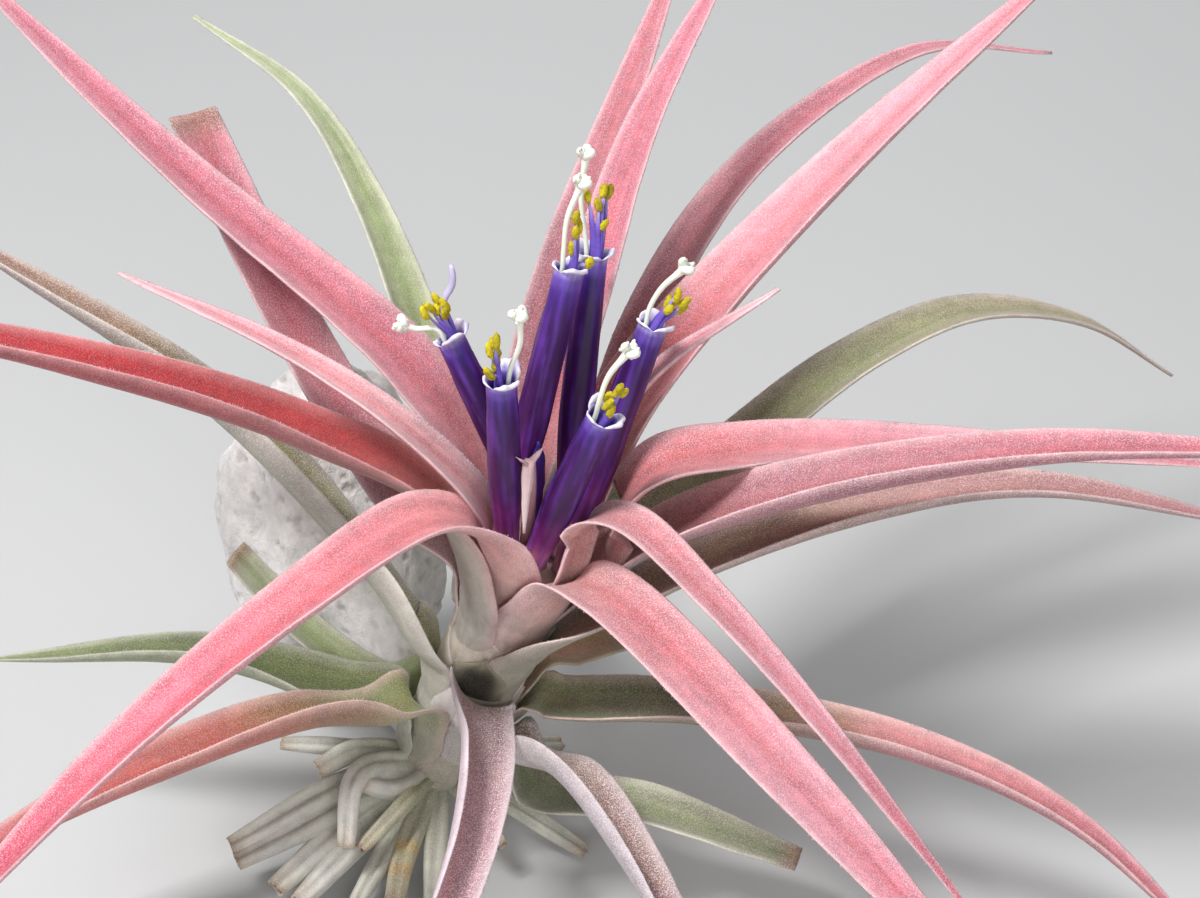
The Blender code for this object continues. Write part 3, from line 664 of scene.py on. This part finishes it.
# One long pale filament of the left flower stands apart from its style
LONG_FILAMENT = ((-13.4, 9, 44), (-11.9, 9, 47.2), (-11.9, 9, 50.6))
POLLEN = shade("D2C01C")
POLLEN_DARK = shade("8C7E10")
STYLE_PALE = shade("DDE6D2")
STIGMA_WHITE = shade("F2F5E8")


def on_head(azimuth, reach, lift=SHEATH_GAP):
    """A place this far from the middle of the head and this high above it."""
    return outward(azimuth) * reach + AXIS * lift


def round_tube(skin, stops, radii, tint_at, sides=10, steps=16, scurf=0.0, flat=1.0):
    """A tapering round or flattened strand through the stops."""
    stations, length = curve_points([Vector(s) for s in stops], steps, 1)
    rings = []
    side = None
    for i, (share, point) in enumerate(stations):
        forward = heading(stations, i)
        if side is None:
            side = forward.orthogonal().normalized()
        side = (side - forward * side.dot(forward)).normalized()
        other = forward.cross(side)
        radius = along(radii, share)
        tint = tint_at(share)
        rings.append([skin.add(point + (side * cos(tau * k / sides) * flat
                                        + other * sin(tau * k / sides)) * radius,
                               tint, scurf, (k * 0.4, share * length * 0.2, 0)) for k in range(sides)])
    skin.rings(rings)


def bean(skin, centre, direction, long, wide, tint, dice, rough):
    """A small grooved and grainy bean, such as an anther."""
    across = direction.orthogonal().normalized()
    across = (Matrix.Rotation(dice.uniform(0, tau), 3, direction) @ across).normalized()
    third = direction.cross(across)
    bow = dice.uniform(-0.3, 0.3) * long
    rings = []
    for i in range(1, 12):
        polar = pi * i / 12
        ring = []
        for k in range(14):
            turn = tau * k / 14
            groove = 1 - 0.32 * max(0.0, cos(turn)) ** 4 * sin(polar)
            spot = turned_to(across, third, turn) * wide * sin(polar) * groove
            spot = spot + direction * long * -cos(polar) + across * bow * sin(polar)
            grain = noise.noise((centre + spot) * 2.8)
            spot = centre + spot * (1 + rough * grain)
            # The groove is painted darker as shade; the grain varies the tone
            ring.append(skin.add(spot, tint * (1 + 0.5 * grain - 0.35 * (1 - groove) / 0.32)))
        rings.append(ring)
    skin.rings(rings)


def add_corolla(name, foot, up, right, away, length, seed):
    """Three petals rolled in a tube, their edges lapping aslant, with pale torn lips rolled back."""
    sides = 72
    skin = Skin()
    rings = []

    def petal_at(k, share):
        """Which of the three petals, and the share of its width from edge to edge."""
        turn = 3 * k / sides + PETAL_TWIST * share + seed
        return int(turn) % 3, turn % 1

    def turned(k, times=1):
        return k * (tau / sides) * times

    def ring(share, radius, tint_of, lift=0.0, spread=0.0, step=0.34, deep=0.0):
        made = []
        for k in range(sides):
            petal, q = petal_at(k, share)
            torn = noise_at(turned(k, 2.6), seed * 17, 3)
            lobe = sin(pi * q) ** 0.7 * (1 + 0.35 * torn + (0.4, -0.45, 0.1)[petal])
            crease = -0.12 * exp(-((q - 0.45) / 0.10) ** 2) * step / 0.34
            lap = 1 if petal == 0 else 0.4
            r = radius + lap * (step * (q ** 1.5 - 0.5) + crease) + spread * max(0.0, lobe)
            r += 0.16 * noise_at(turned(k, 2), share * 4, seed * 9)
            spot = foot + up * (share * length + lift * lobe - deep)
            spot = spot + turned_to(right, away, turned(k)) * r
            made.append(skin.add(spot, tint_of(k), 0, (q * 5, share * 1.6, seed)))
        rings.append(made)

    def body(share):
        base = along(PETAL_SHADES, share * 0.97)

        def tint(k):
            petal, q = petal_at(k, share)
            # Painted light on the tube: a highlight along each lapping edge, shade along the seam that
            # it covers, and noise patches painted lighter towards the lit violet and darker, as
            # highlight and shade
            tone_and_light_patch = noise_at(turned(k, 2.4), share * 5 + q, seed * 5 + 2)
            lap = 1 if petal == 0 else 0.3
            pale = lap * 0.8 * exp(-((q - 0.9) / 0.07) ** 2) * smooth(share * 2.5)
            dark = lap * 0.5 * exp(-(q / 0.08) ** 2)
            lit = mix(base, PETAL_LIT, min(1.0, max(0.0, pale + 0.9 * tone_and_light_patch)))
            return lit * (1 - dark) * (1 + 0.5 * min(0.0, tone_and_light_patch))
        return tint

    def edge(tone):
        def tint(k):
            torn = noise_at(turned(k, 3), seed * 11, 9)
            return mix(LIP_LOW, LIP, min(1.0, max(0.0, tone + 0.8 * torn)))
        return tint

    for i in range(50):
        share = i / 49
        ring(share, along(TUBE_OUTLINE, share), body(share))
    for lift, spread, step, tone in LIP_RINGS:
        ring(1.0, 2.3, edge(tone), lift=lift, spread=spread, step=step)
    # Down the throat the colour turns darker ring by ring: painted shade inside the tube
    for drop, radius, dark in THROAT_RINGS:
        inside = mix(THROAT_RIM, THROAT, dark)
        ring(1.0, radius, lambda k, inside=inside: inside, step=0.05, deep=drop)
    skin.rings(rings)
    skin.piece(PETAL_SKIN, "flower_violet", "corolla_" + name)


def add_stamens(name, mouth, up, right, away, floor, anthers, long, spread, reach, beside, dice):
    """Six flat violet filaments bundled in the throat, with dusty yellow anthers as in the photo."""
    skin = Skin()
    across = reach.cross(beside).normalized()
    for k, (a, b, high) in enumerate(spread):
        top = anthers - beside * 0.5 + across * b + beside * a + reach * high
        low = mouth - beside * 0.5 + beside * a * 0.35 + across * b * 0.5 + up * 1.5
        root = floor + turned_to(right, away, tau * k / 6) * 0.8
        middle = mix(low, top, 0.6) + beside * dice.uniform(-0.15, 0.15)
        round_tube(skin, [root, low, middle, top],
                   ((0, 0.6), (0.4, 0.95), (0.75, 0.62), (1, 0.26)),
                   lambda share: mix(FILAMENT_VIOLET, FILAMENT_PALE,
                                     smooth((share - 0.75) / 0.25) * 0.5), flat=0.5)
        lean = reach + across * dice.uniform(-0.45, 0.45) + beside * dice.uniform(-0.45, 0.35)
        lean.normalize()
        bean(skin, top + lean * 0.6, lean, long * dice.uniform(0.85, 1.1), 0.68,
             mix(POLLEN, POLLEN_DARK, dice.uniform(0, 0.6)), dice, 0.2)
    if name == "left":
        round_tube(skin, [mouth + up * 1.5, *LONG_FILAMENT],
                   ((0, 0.5), (0.5, 0.62), (0.85, 0.66), (1, 0.4)),
                   lambda share: mix(FILAMENT_VIOLET, FILAMENT_PALE, smooth(share * 1.6)),
                   steps=18, flat=0.8)
    skin.piece(POLLEN_SKIN, "anther_yellow", "stamens_" + name)


def add_style(name, mouth, up, beside, floor, stigma, dice):
    """The pale style with its three short, twisted and frilled stigma lobes."""
    skin = Skin()
    lift = mouth + up * 2.6 + beside * 1.5
    bend = mix(lift, stigma, 0.5) + beside * 0.8
    round_tube(skin, [floor + beside * 1.1, mouth + beside * 1.1, lift, bend, stigma],
               ((0, 0.38), (0.6, 0.42), (0.88, 0.5), (1, 0.72)),
               lambda share: mix(STYLE_PALE, STIGMA_WHITE, smooth(share)), sides=12, steps=26)
    aim = (stigma - bend).normalized()
    around = aim.orthogonal().normalized()
    for k in range(3):
        turned = Matrix.Rotation(tau * k / 3 + dice.uniform(-0.2, 0.2), 3, aim) @ around
        curl = aim.cross(turned)
        stops = [stigma - aim * 0.6, stigma + turned * 0.65 + aim * 0.1,
                 stigma + turned * 0.95 + aim * 0.6 + curl * 0.5,
                 stigma + turned * 0.6 + aim * 1.1 + curl * 0.9]
        round_tube(skin, stops, ((0, 0.6), (0.5, 0.72), (0.85, 0.7), (1, 0.5)),
                   lambda share: STIGMA_WHITE, sides=12, steps=12)
        for j in range(9):
            bud = (mix(stops[1], stops[3], j / 8) + turned * dice.uniform(-0.1, 0.55)
                   + aim * dice.uniform(-0.5, 0.5) + curl * dice.uniform(-0.6, 0.6))
            bean(skin, bud, aim, 0.42, 0.3, STIGMA_WHITE * dice.uniform(0.85, 1.0), dice, 0.05)
    skin.piece(STYLE_SKIN, "style_white", "style_" + name)


def add_bloom(name, azimuth, mouth, anthers, stigma, long, spread):
    """One open flower: its tube, stamens and style, worked out from the places that it is seen at."""
    mouth, anthers, stigma = Vector(mouth), Vector(anthers), Vector(stigma)
    foot = on_head(azimuth, BLOOM_REACH)
    up = (mouth - foot).normalized()
    foot += AXIS * TUBE_FOOT_RADIUS * sin(up.angle(AXIS))
    up = (mouth - foot).normalized()
    right = up.cross(Vector((0, 1, 0))).normalized()
    away = up.cross(right)
    length = (mouth - foot).length
    dice = random.Random(name)
    add_corolla(name, foot, up, right, away, length, dice.random())
    reach = (anthers - mouth).normalized()
    beside = right if (stigma - anthers).dot(right) > -2 else -right
    floor = foot + up * (length - TUBE_THROAT_DEPTH + THROAT_FLOOR_LIFT)
    add_stamens(name, mouth, up, right, away, floor, anthers, long, spread, reach, beside, dice)
    add_style(name, mouth, up, beside, floor, stigma, dice)


BRACT_OUTLINE = ((0, 1), (0.5, 0.75), (0.62, 0.7), (0.74, 0.95), (0.86, 0.6), (1, 0.12))
BRACT_SHADES = shades("0 B07C84, 0.4 C49298, 0.6 C8A4A8, 1 DCC8C6")
BRACT_THICK = 0.5
FRONT_BRACT = ((-0.3, -4, 8), (0.6, -6.2, 17), (0.7, -8, 24), (0.5, -10, 26), (-0.5, -12, 13.5))
# The two side points of the star where the front bract folds over: root and tip
FRONT_SPIKES = (((0.2, -9.8, 25.2), (-1.5, -11.3, 27.4)), ((0.8, -9.6, 25.4), (2.9, -9.8, 28.4)))
INNER_BRACT = ((2.4, -2.9, 8), (3.6, -3.8, 16), (4.4, -3.8, 22))
BUD = ((1.2, 0.4, 9), (1.7, -1.0, 20), (1.8, -1.6, 24.2))
BUD_SHADES = shades("0 9A6E86, 0.5 5A2A84, 1 2E1A70")


def add_bract(name, root, via, wide, spikes=()):
    """A dry papery scale with a drawn-out tip."""
    frames, length = leaf_frames([root, *map(Vector, via)], Vector((1, 0, 0)), Vector((0, 1, 0)),
                                 lambda share: wide * along(BRACT_OUTLINE, share),
                                 lambda share: 60, lambda share: 0, 9, 40)
    skin = Skin()
    blade_skin(skin, frames, length, lambda share, u, face: along(BRACT_SHADES, share), lambda *_: 0.3,
               wide, thick=BRACT_THICK, ridges=0.06, ripple=0.3, across=10)
    for spike_root, spike_tip in spikes:
        middle = mix(Vector(spike_root), Vector(spike_tip), 0.5) + Vector((0, -0.4, 0.2))
        round_tube(skin, [spike_root, middle, spike_tip], ((0, 0.7), (0.5, 0.5), (1, 0.08)),
                   lambda share: BRACT_SHADES[2][1], steps=10, scurf=0.3, flat=0.5)
    skin.piece(PAPER_SKIN, "bract_papery", name)


def add_head():
    """What stands on the stem's head: the open flowers, the bud and the bracts."""
    for row in BLOOMS:
        add_bloom(*row)
    skin = Skin()
    round_tube(skin, [on_head(90, 0.8, 0.5), *BUD], ((0, 1.0), (0.4, 1.2), (0.85, 1.1), (1, 0.25)),
               lambda share: along(BUD_SHADES, share), sides=16, steps=30)
    skin.piece(PETAL_SKIN, "flower_violet", "bud")
    add_bract("bract_front", on_head(241, 2.4), FRONT_BRACT, 2.1, FRONT_SPIKES)
    add_bract("bract_inner", on_head(315, 2.6), INNER_BRACT, 2)


# Stem

# Cut stubs that fan out from the stem's foot: elbow, tip, radius and which of the tones below
STUB_ROOT = (-17, 3.6, -46)
STUBS = (
    ((-24, -6, -43), (-29.5, -9.5, -39), 3.4, 0),
    ((-35, -6, -44.8), (-52, -14, -50.5), 2.9, 0),
    ((-34, -8.5, -47.3), (-51, -16, -52), 2.7, 0),
    ((-32, -9, -49.5), (-44, -20, -54.5), 3.0, 0),
    ((-30, -11, -51), (-40, -22, -56), 2.7, 0),
    ((-30, -10, -38), (-31.7, -19, -46.3), 2.3, 0),
    ((-22, -10, -44), (-29.2, -18, -47.5), 1.8, 2),
    ((-31, -1, -40), (-37.5, -4, -41.5), 2.6, 1),
    ((-33, 3, -42.5), (-44.5, 2, -40.5), 1.9, 0),
    ((-25, -12, -52), (-31, -24, -57), 2.2, 1),
    ((-22, -13, -52), (-24, -26, -57), 2.4, 3),
    ((-17, -11, -53), (-17, -25, -57), 2.2, 1),
    ((-9, -8, -50), (-5.5, -12, -52), 2.2, 1),
    ((0, 6, -49), (13, 6, -55), 2.4, 1),
    ((-5, 14, -51), (4, 22, -57), 2.2, 1),
    ((-2, -2, -53), (9, -8, -57), 2.0, 1),
)
# The last ones of them start this much further right
STUBS_RIGHT = 4
STUB_RIGHT_STEP = 1
STUB_SHADES = (
    shades("0 9EA388, 0.4 BFC3B0, 0.85 CDCFC2, 0.96 C6C2B0, 1 A08C6C"),
    shades("0 989E7E, 0.4 B5BAA2, 0.85 C6C9B8, 0.96 BEB8A0, 1 988262"),
    shades("0 868C5C, 0.4 989E72, 0.85 B4B494, 0.96 B0A684, 1 8A6E4E"),
    shades("0 989E7E, 0.5 AAAC8C, 0.57 B8A050, 0.63 A6A680, 0.7 AE9450, 0.78 A4A27E, 1 86603A"),
)
STUB_UP = Vector((0.0, -0.5, 1.0))
STEM_INSET = 0.985
STEM_SCURF = 0.6
# Broad old sheaths that wrap the stem: drop below the head, azimuth, height, degrees to each side
STEM_SHEATHS = (
    (47, 200, 15, 85), (47, 300, 14, 80), (47, 75, 14, 85), (40, 245, 15, 80), (40, 350, 14, 75),
    (40, 130, 14, 80), (27, 285, 14, 78), (31, 170, 14, 78), (31, 45, 14, 78), (23, 235, 12, 75),
    (23, 330, 12, 72), (23, 110, 12, 75),
)
# A painted shadow: a dark patch on the stem over the root of the drooping front leaf, where the hollow
# there lies in shade, in the same terms
LEAF_HOLLOW_SHADOW = (25.5, 260, 9.5, 40)
HOLLOW_SHADOW_PROUD = 1.5
HOLLOW_SHADOW_SCURF = 0.05
HOLLOW_SHADOW_DARK, HOLLOW_SHADOW_RIM = shade("2E2A1A"), shade("A09A84")
SHEATH_GREEN = shade("A9AA90")
STEM_SHADES = shades("0 B4AE98, 0.3 CAC2AC, 0.7 D4C8B6, 1 DAC0B2")


def rolled_stub(skin, stops, radius, colours, seed):
    """An old leaf base folded on itself in two lobes, its dry cut end curled round a hollow."""
    steps, count = 36, 32
    stations, length = curve_points([Vector(s) for s in stops], steps, 1)
    rings = []

    def ring(i, share, point, wall, inward, tint):
        forward = heading(stations, i)
        up = (STUB_UP - forward * forward.dot(STUB_UP)).normalized()
        side = forward.cross(up)
        r = radius * mix(0.9, 1, smooth(share * 2)) * mix(1, 0.62, share ** 2.5) * 1.03
        lean = 0.5 * noise_at(share * 2, seed, 7)
        made = []
        for k in range(count):
            a = tau * k / count
            x, y = cos(a), sin(a)
            crease = exp(-((a - pi / 2 - lean) / 0.34) ** 2)
            crease *= mix(0.16, 0.46, smooth(share * 1.6))
            squash = 1 + 0.10 * noise_at(x * 1.5, y * 1.5 + share * 3, seed)
            ragged = 0.5 * smooth((share - 0.9) / 0.1) * noise_at(x * 2, y * 2, seed * 3)
            spot = point + (side * x + up * y * 0.92) * r * squash * wall * (1 - crease)
            spot = spot - forward * (inward - ragged)
            grain = noise.noise(spot * 0.5)
            # The fold between the two lobes is painted darker as shade; the grain varies the tone
            made.append(skin.add(spot, tint * (1 + 0.12 * grain - 0.5 * crease), STEM_SCURF,
                                 (k * 0.3, share * length * 0.1, seed)))
        rings.append(made)

    for i, (share, point) in enumerate(stations):
        ring(i, share, point, 1, 0, along(colours, share))
    end = stations[-1][1]
    # The rings that curl into the cut end are painted darker and darker: painted shade in its hollow
    for wall, inward, tint in ((0.92, -0.12, colours[-2][1]), (0.74, 0.05, colours[-1][1]),
                               (0.66, 0.9, colours[-1][1] * 0.4), (0.5, 2.2, colours[-1][1] * 0.12)):
        ring(steps, 1, end, wall, inward, tint)
    skin.rings(rings)


def sheath_scale(skin, drop, azimuth, high, wrap, proud, tint, seed, shadow_rim_tint=None):
    """A broad leaf base that clasps the stem and ends in a soft point.

    Its rims are pale with scurf; for the painted shadow over the drooping leaf's root, its dark tint
    fades into the rim tint instead.
    """
    steps, across = 22, 12
    rings = []
    for i in range(steps + 1):
        share = i / steps
        level = drop - high * share
        half = radians(wrap) * (1 - 0.96 * smooth((share - 0.25) / 0.75) ** 1.4)
        radius = stem_radius(level) + proud * mix(0.4, 1.0, share)
        ring = []
        for wall, turns in ((0.42, range(across + 1)), (0.0, range(across, -1, -1))):
            for k in turns:
                u = 2 * k / across - 1
                out = outward(azimuth + degrees(half) * u)
                thin = wall * (1 - 0.7 * abs(u) ** 3)
                bump = 0.18 * noise_at(u * 2, share * 4, seed)
                reach = radius + thin + bump * smooth(share * 4) - 0.25 * (1 - share)
                # For the painted shadow the dark tint fades into the rim tint towards its sides and its
                # pointed end, and has little scurf
                if shadow_rim_tint:
                    rim = max(smooth((abs(u) - 0.35) / 0.65), smooth((share - 0.5) / 0.5))
                    painted, scurf = mix(tint, shadow_rim_tint, rim), HOLLOW_SHADOW_SCURF
                else:
                    rim = smooth((abs(u) - 0.7) / 0.3) * 0.4
                    painted, scurf = mix(tint, WHITE_SCURF, rim), STEM_SCURF
                ring.append(skin.add(-AXIS * level + out * reach, painted * (1 + 0.12 * bump), scurf,
                                     (u * 5, share * 2, seed)))
        rings.append(ring)
    skin.rings(rings)


def add_stem():
    """The stem wrapped in pale old leaf bases, with the rolled stubs of cut leaves round its foot."""
    skin = Skin()
    steps, sides = 44, 40
    rings = []
    for i in range(steps + 1):
        share = i / steps
        point = STEM_BASE * (1 - share)
        radius = along(STEM_RADII, share) * STEM_INSET
        ring = []
        for k in range(sides):
            turn = tau * k / sides
            out = outward(360 * k / sides)
            rough = noise_at(cos(turn) * 2, sin(turn) * 2, share * 6)
            tint = along(STEM_SHADES, share) * (1 + 0.2 * rough)
            ring.append(skin.add(point + out * (radius + 0.12 * rough), tint, STEM_SCURF,
                                 (k * 0.5, share * 5, 0)))
        rings.append(ring)
    skin.rings(rings)
    for k, (drop, azimuth, high, wrap) in enumerate(STEM_SHEATHS):
        tint = mix(along(STEM_SHADES, 1 - drop / STEM_LENGTH), SHEATH_GREEN, 0.35 * (k % 3) / 2)
        sheath_scale(skin, drop, azimuth, high, wrap, 0.2 + 0.1 * (k % 3), tint, k)
    # A dark patch painted as the shadow in the hollow over the drooping front leaf's root
    sheath_scale(skin, *LEAF_HOLLOW_SHADOW, HOLLOW_SHADOW_PROUD, HOLLOW_SHADOW_DARK, 40, HOLLOW_SHADOW_RIM)
    for i, (elbow, tip, radius, tone) in enumerate(STUBS):
        root = Vector(STUB_ROOT)
        if i >= len(STUBS) - STUBS_RIGHT:
            root.x += STUB_RIGHT_STEP
        rolled_stub(skin, (root, elbow, tip), radius, STUB_SHADES[tone], i * 1.7)
    skin.piece(LEAF_SKIN, "stem_grey", "stem")


# Stone

STONE_MIDDLE = STONE_SIZE.z * 0.92
STONE_LEDGE_WAY = Vector((0.47, -0.82, -0.32)).normalized()
STONE_PEAK_WAY = Vector((0.35, 0.1, 0.93)).normalized()
STONE_LEAN = 1.5
STONE_LIGHT, STONE_DARK = shade("F0ECEA"), shade("A49A96")


def stone_radius(direction):
    """Reach of the stone from its middle along a direction, as a share of its plain egg shape."""
    ledge = max(0.0, direction.dot(STONE_LEDGE_WAY)) ** 30
    peak = max(0.0, direction.dot(STONE_PEAK_WAY)) ** 4
    rough = noise.noise(direction * 1.7 + Vector((3.1, 0.4, 8.2)))
    grain = noise.noise(direction * 4.5)
    return 0.97 + 0.08 * peak + STONE_LEDGE * ledge + 0.12 * rough + 0.07 * grain


def add_stone():
    """The pale porous stone, its underside flat where it stands."""
    shape = bmesh.new()
    bmesh.ops.create_icosphere(shape, subdivisions=7, radius=1)
    skin = Skin()
    for vert in shape.verts:
        direction = vert.co.normalized()
        reach = stone_radius(direction)
        place = Vector(d * s for d, s in zip(direction, STONE_SIZE)) * reach
        pits = noise.noise(place * 0.36) * 0.5 + noise.noise(place * 0.8) * 0.35
        hole = smooth((pits - 0.12) / 0.3)
        fine = noise.noise(place * 1.9)
        foot = smooth((place.z + STONE_MIDDLE) / 3)
        place = place + direction * (0.2 - 0.55 * hole + 0.2 * fine) * foot
        place.z = max(0.0, place.z + STONE_MIDDLE)
        place.x -= STONE_LEAN * smooth(place.z / 30)
        # Darker in the pits, as painted shade in them, and in fine random patches of tone
        tint = mix(STONE_LIGHT, STONE_DARK, 0.5 * hole + 0.3 * max(0.0, fine) + 0.04)
        skin.add(place - HEAD, tint, 0)
    skin.faces = [tuple(v.index for v in face.verts) for face in shape.faces]
    shape.free()
    skin.piece(STONE_SKIN, "stone_pale", "stone")


# Floor, light and camera, in metres and watts

FLOOR_REACH = 3
FLOOR_GREY = 0.55
SKY_COLOUR = (0.92, 0.95, 1, 1)
SKY_STRENGTH = 0.22
LAMPS_AIM = Vector((0.036, -0.04, 0.07))
# Soft lamps: name, place, size, power
LAMPS = (
    ("key", (-0.30, -0.25, 0.80), 0.22, 7.6),
    ("fill", (0.2, -0.75, 0.4), 0.4, 2.4),
    ("back", (0.15, 0.7, 0.6), 0.5, 2.5),
)


def add_floor():
    """The plain pale floor."""
    floor_mesh = bpy.data.meshes.new("floor")
    r = FLOOR_REACH
    floor_mesh.from_pydata([(-r, -r, 0), (r, -r, 0), (r, r, 0), (-r, r, 0)], [], [(0, 1, 2, 3)])
    floor = placed("floor", floor_mesh)
    paint = bpy.data.materials.new("floor_paint")
    paint.use_nodes = True
    shader = paint.node_tree.nodes["Principled BSDF"]
    shader.inputs["Base Color"].default_value = (FLOOR_GREY, FLOOR_GREY, FLOOR_GREY, 1)
    shader.inputs["Roughness"].default_value = 0.9
    floor_mesh.materials.append(paint)


def add_lights():
    """A dim even sky and three soft lamps."""
    world = bpy.data.worlds.new("studio")
    world.use_nodes = True
    sky = world.node_tree.nodes["Background"]
    sky.inputs["Color"].default_value = SKY_COLOUR
    sky.inputs["Strength"].default_value = SKY_STRENGTH
    bpy.context.scene.world = world
    for name, place, size, power in LAMPS:
        lamp = bpy.data.lights.new(name, "AREA")
        lamp.size = size
        lamp.energy = power
        item = placed(name, lamp)
        item.location = place
        item.rotation_euler = (Vector(place) - LAMPS_AIM).to_track_quat("Z", "Y").to_euler()
    bpy.context.scene.view_settings.view_transform = "Standard"


CAMERA_RISE = radians(32)
CAMERA_AWAY = 400
# From the head to the middle of the picture
CAMERA_SHIFT_RIGHT = 11.67
CAMERA_SHIFT_UP = 18.5
PHOTO_WIDE_PIXELS = 1200
FOCAL_PIXELS = 2400
SENSOR_WIDE = 36


def add_camera():
    """The photo's view: from the front, looking down on the plant."""
    lens = bpy.data.cameras.new("camera")
    lens.sensor_width = SENSOR_WIDE
    lens.sensor_fit = "HORIZONTAL"
    lens.lens = FOCAL_PIXELS / PHOTO_WIDE_PIXELS * SENSOR_WIDE
    lens.clip_start = 0.01
    lens.clip_end = 20
    item = placed("camera", lens)
    up = Vector((0, sin(CAMERA_RISE), cos(CAMERA_RISE)))
    back = Vector((0, -cos(CAMERA_RISE), sin(CAMERA_RISE)))
    middle = HEAD + Vector((CAMERA_SHIFT_RIGHT, 0, 0)) + up * CAMERA_SHIFT_UP
    item.location = (middle + back * CAMERA_AWAY) * MM
    item.rotation_euler = (pi / 2 - CAMERA_RISE, 0, 0)
    bpy.context.scene.camera = item


add_upper_leaves()
add_middle_leaves()
add_lower_leaves()
add_head()
add_stem()
add_stone()
add_floor()
add_lights()
add_camera()
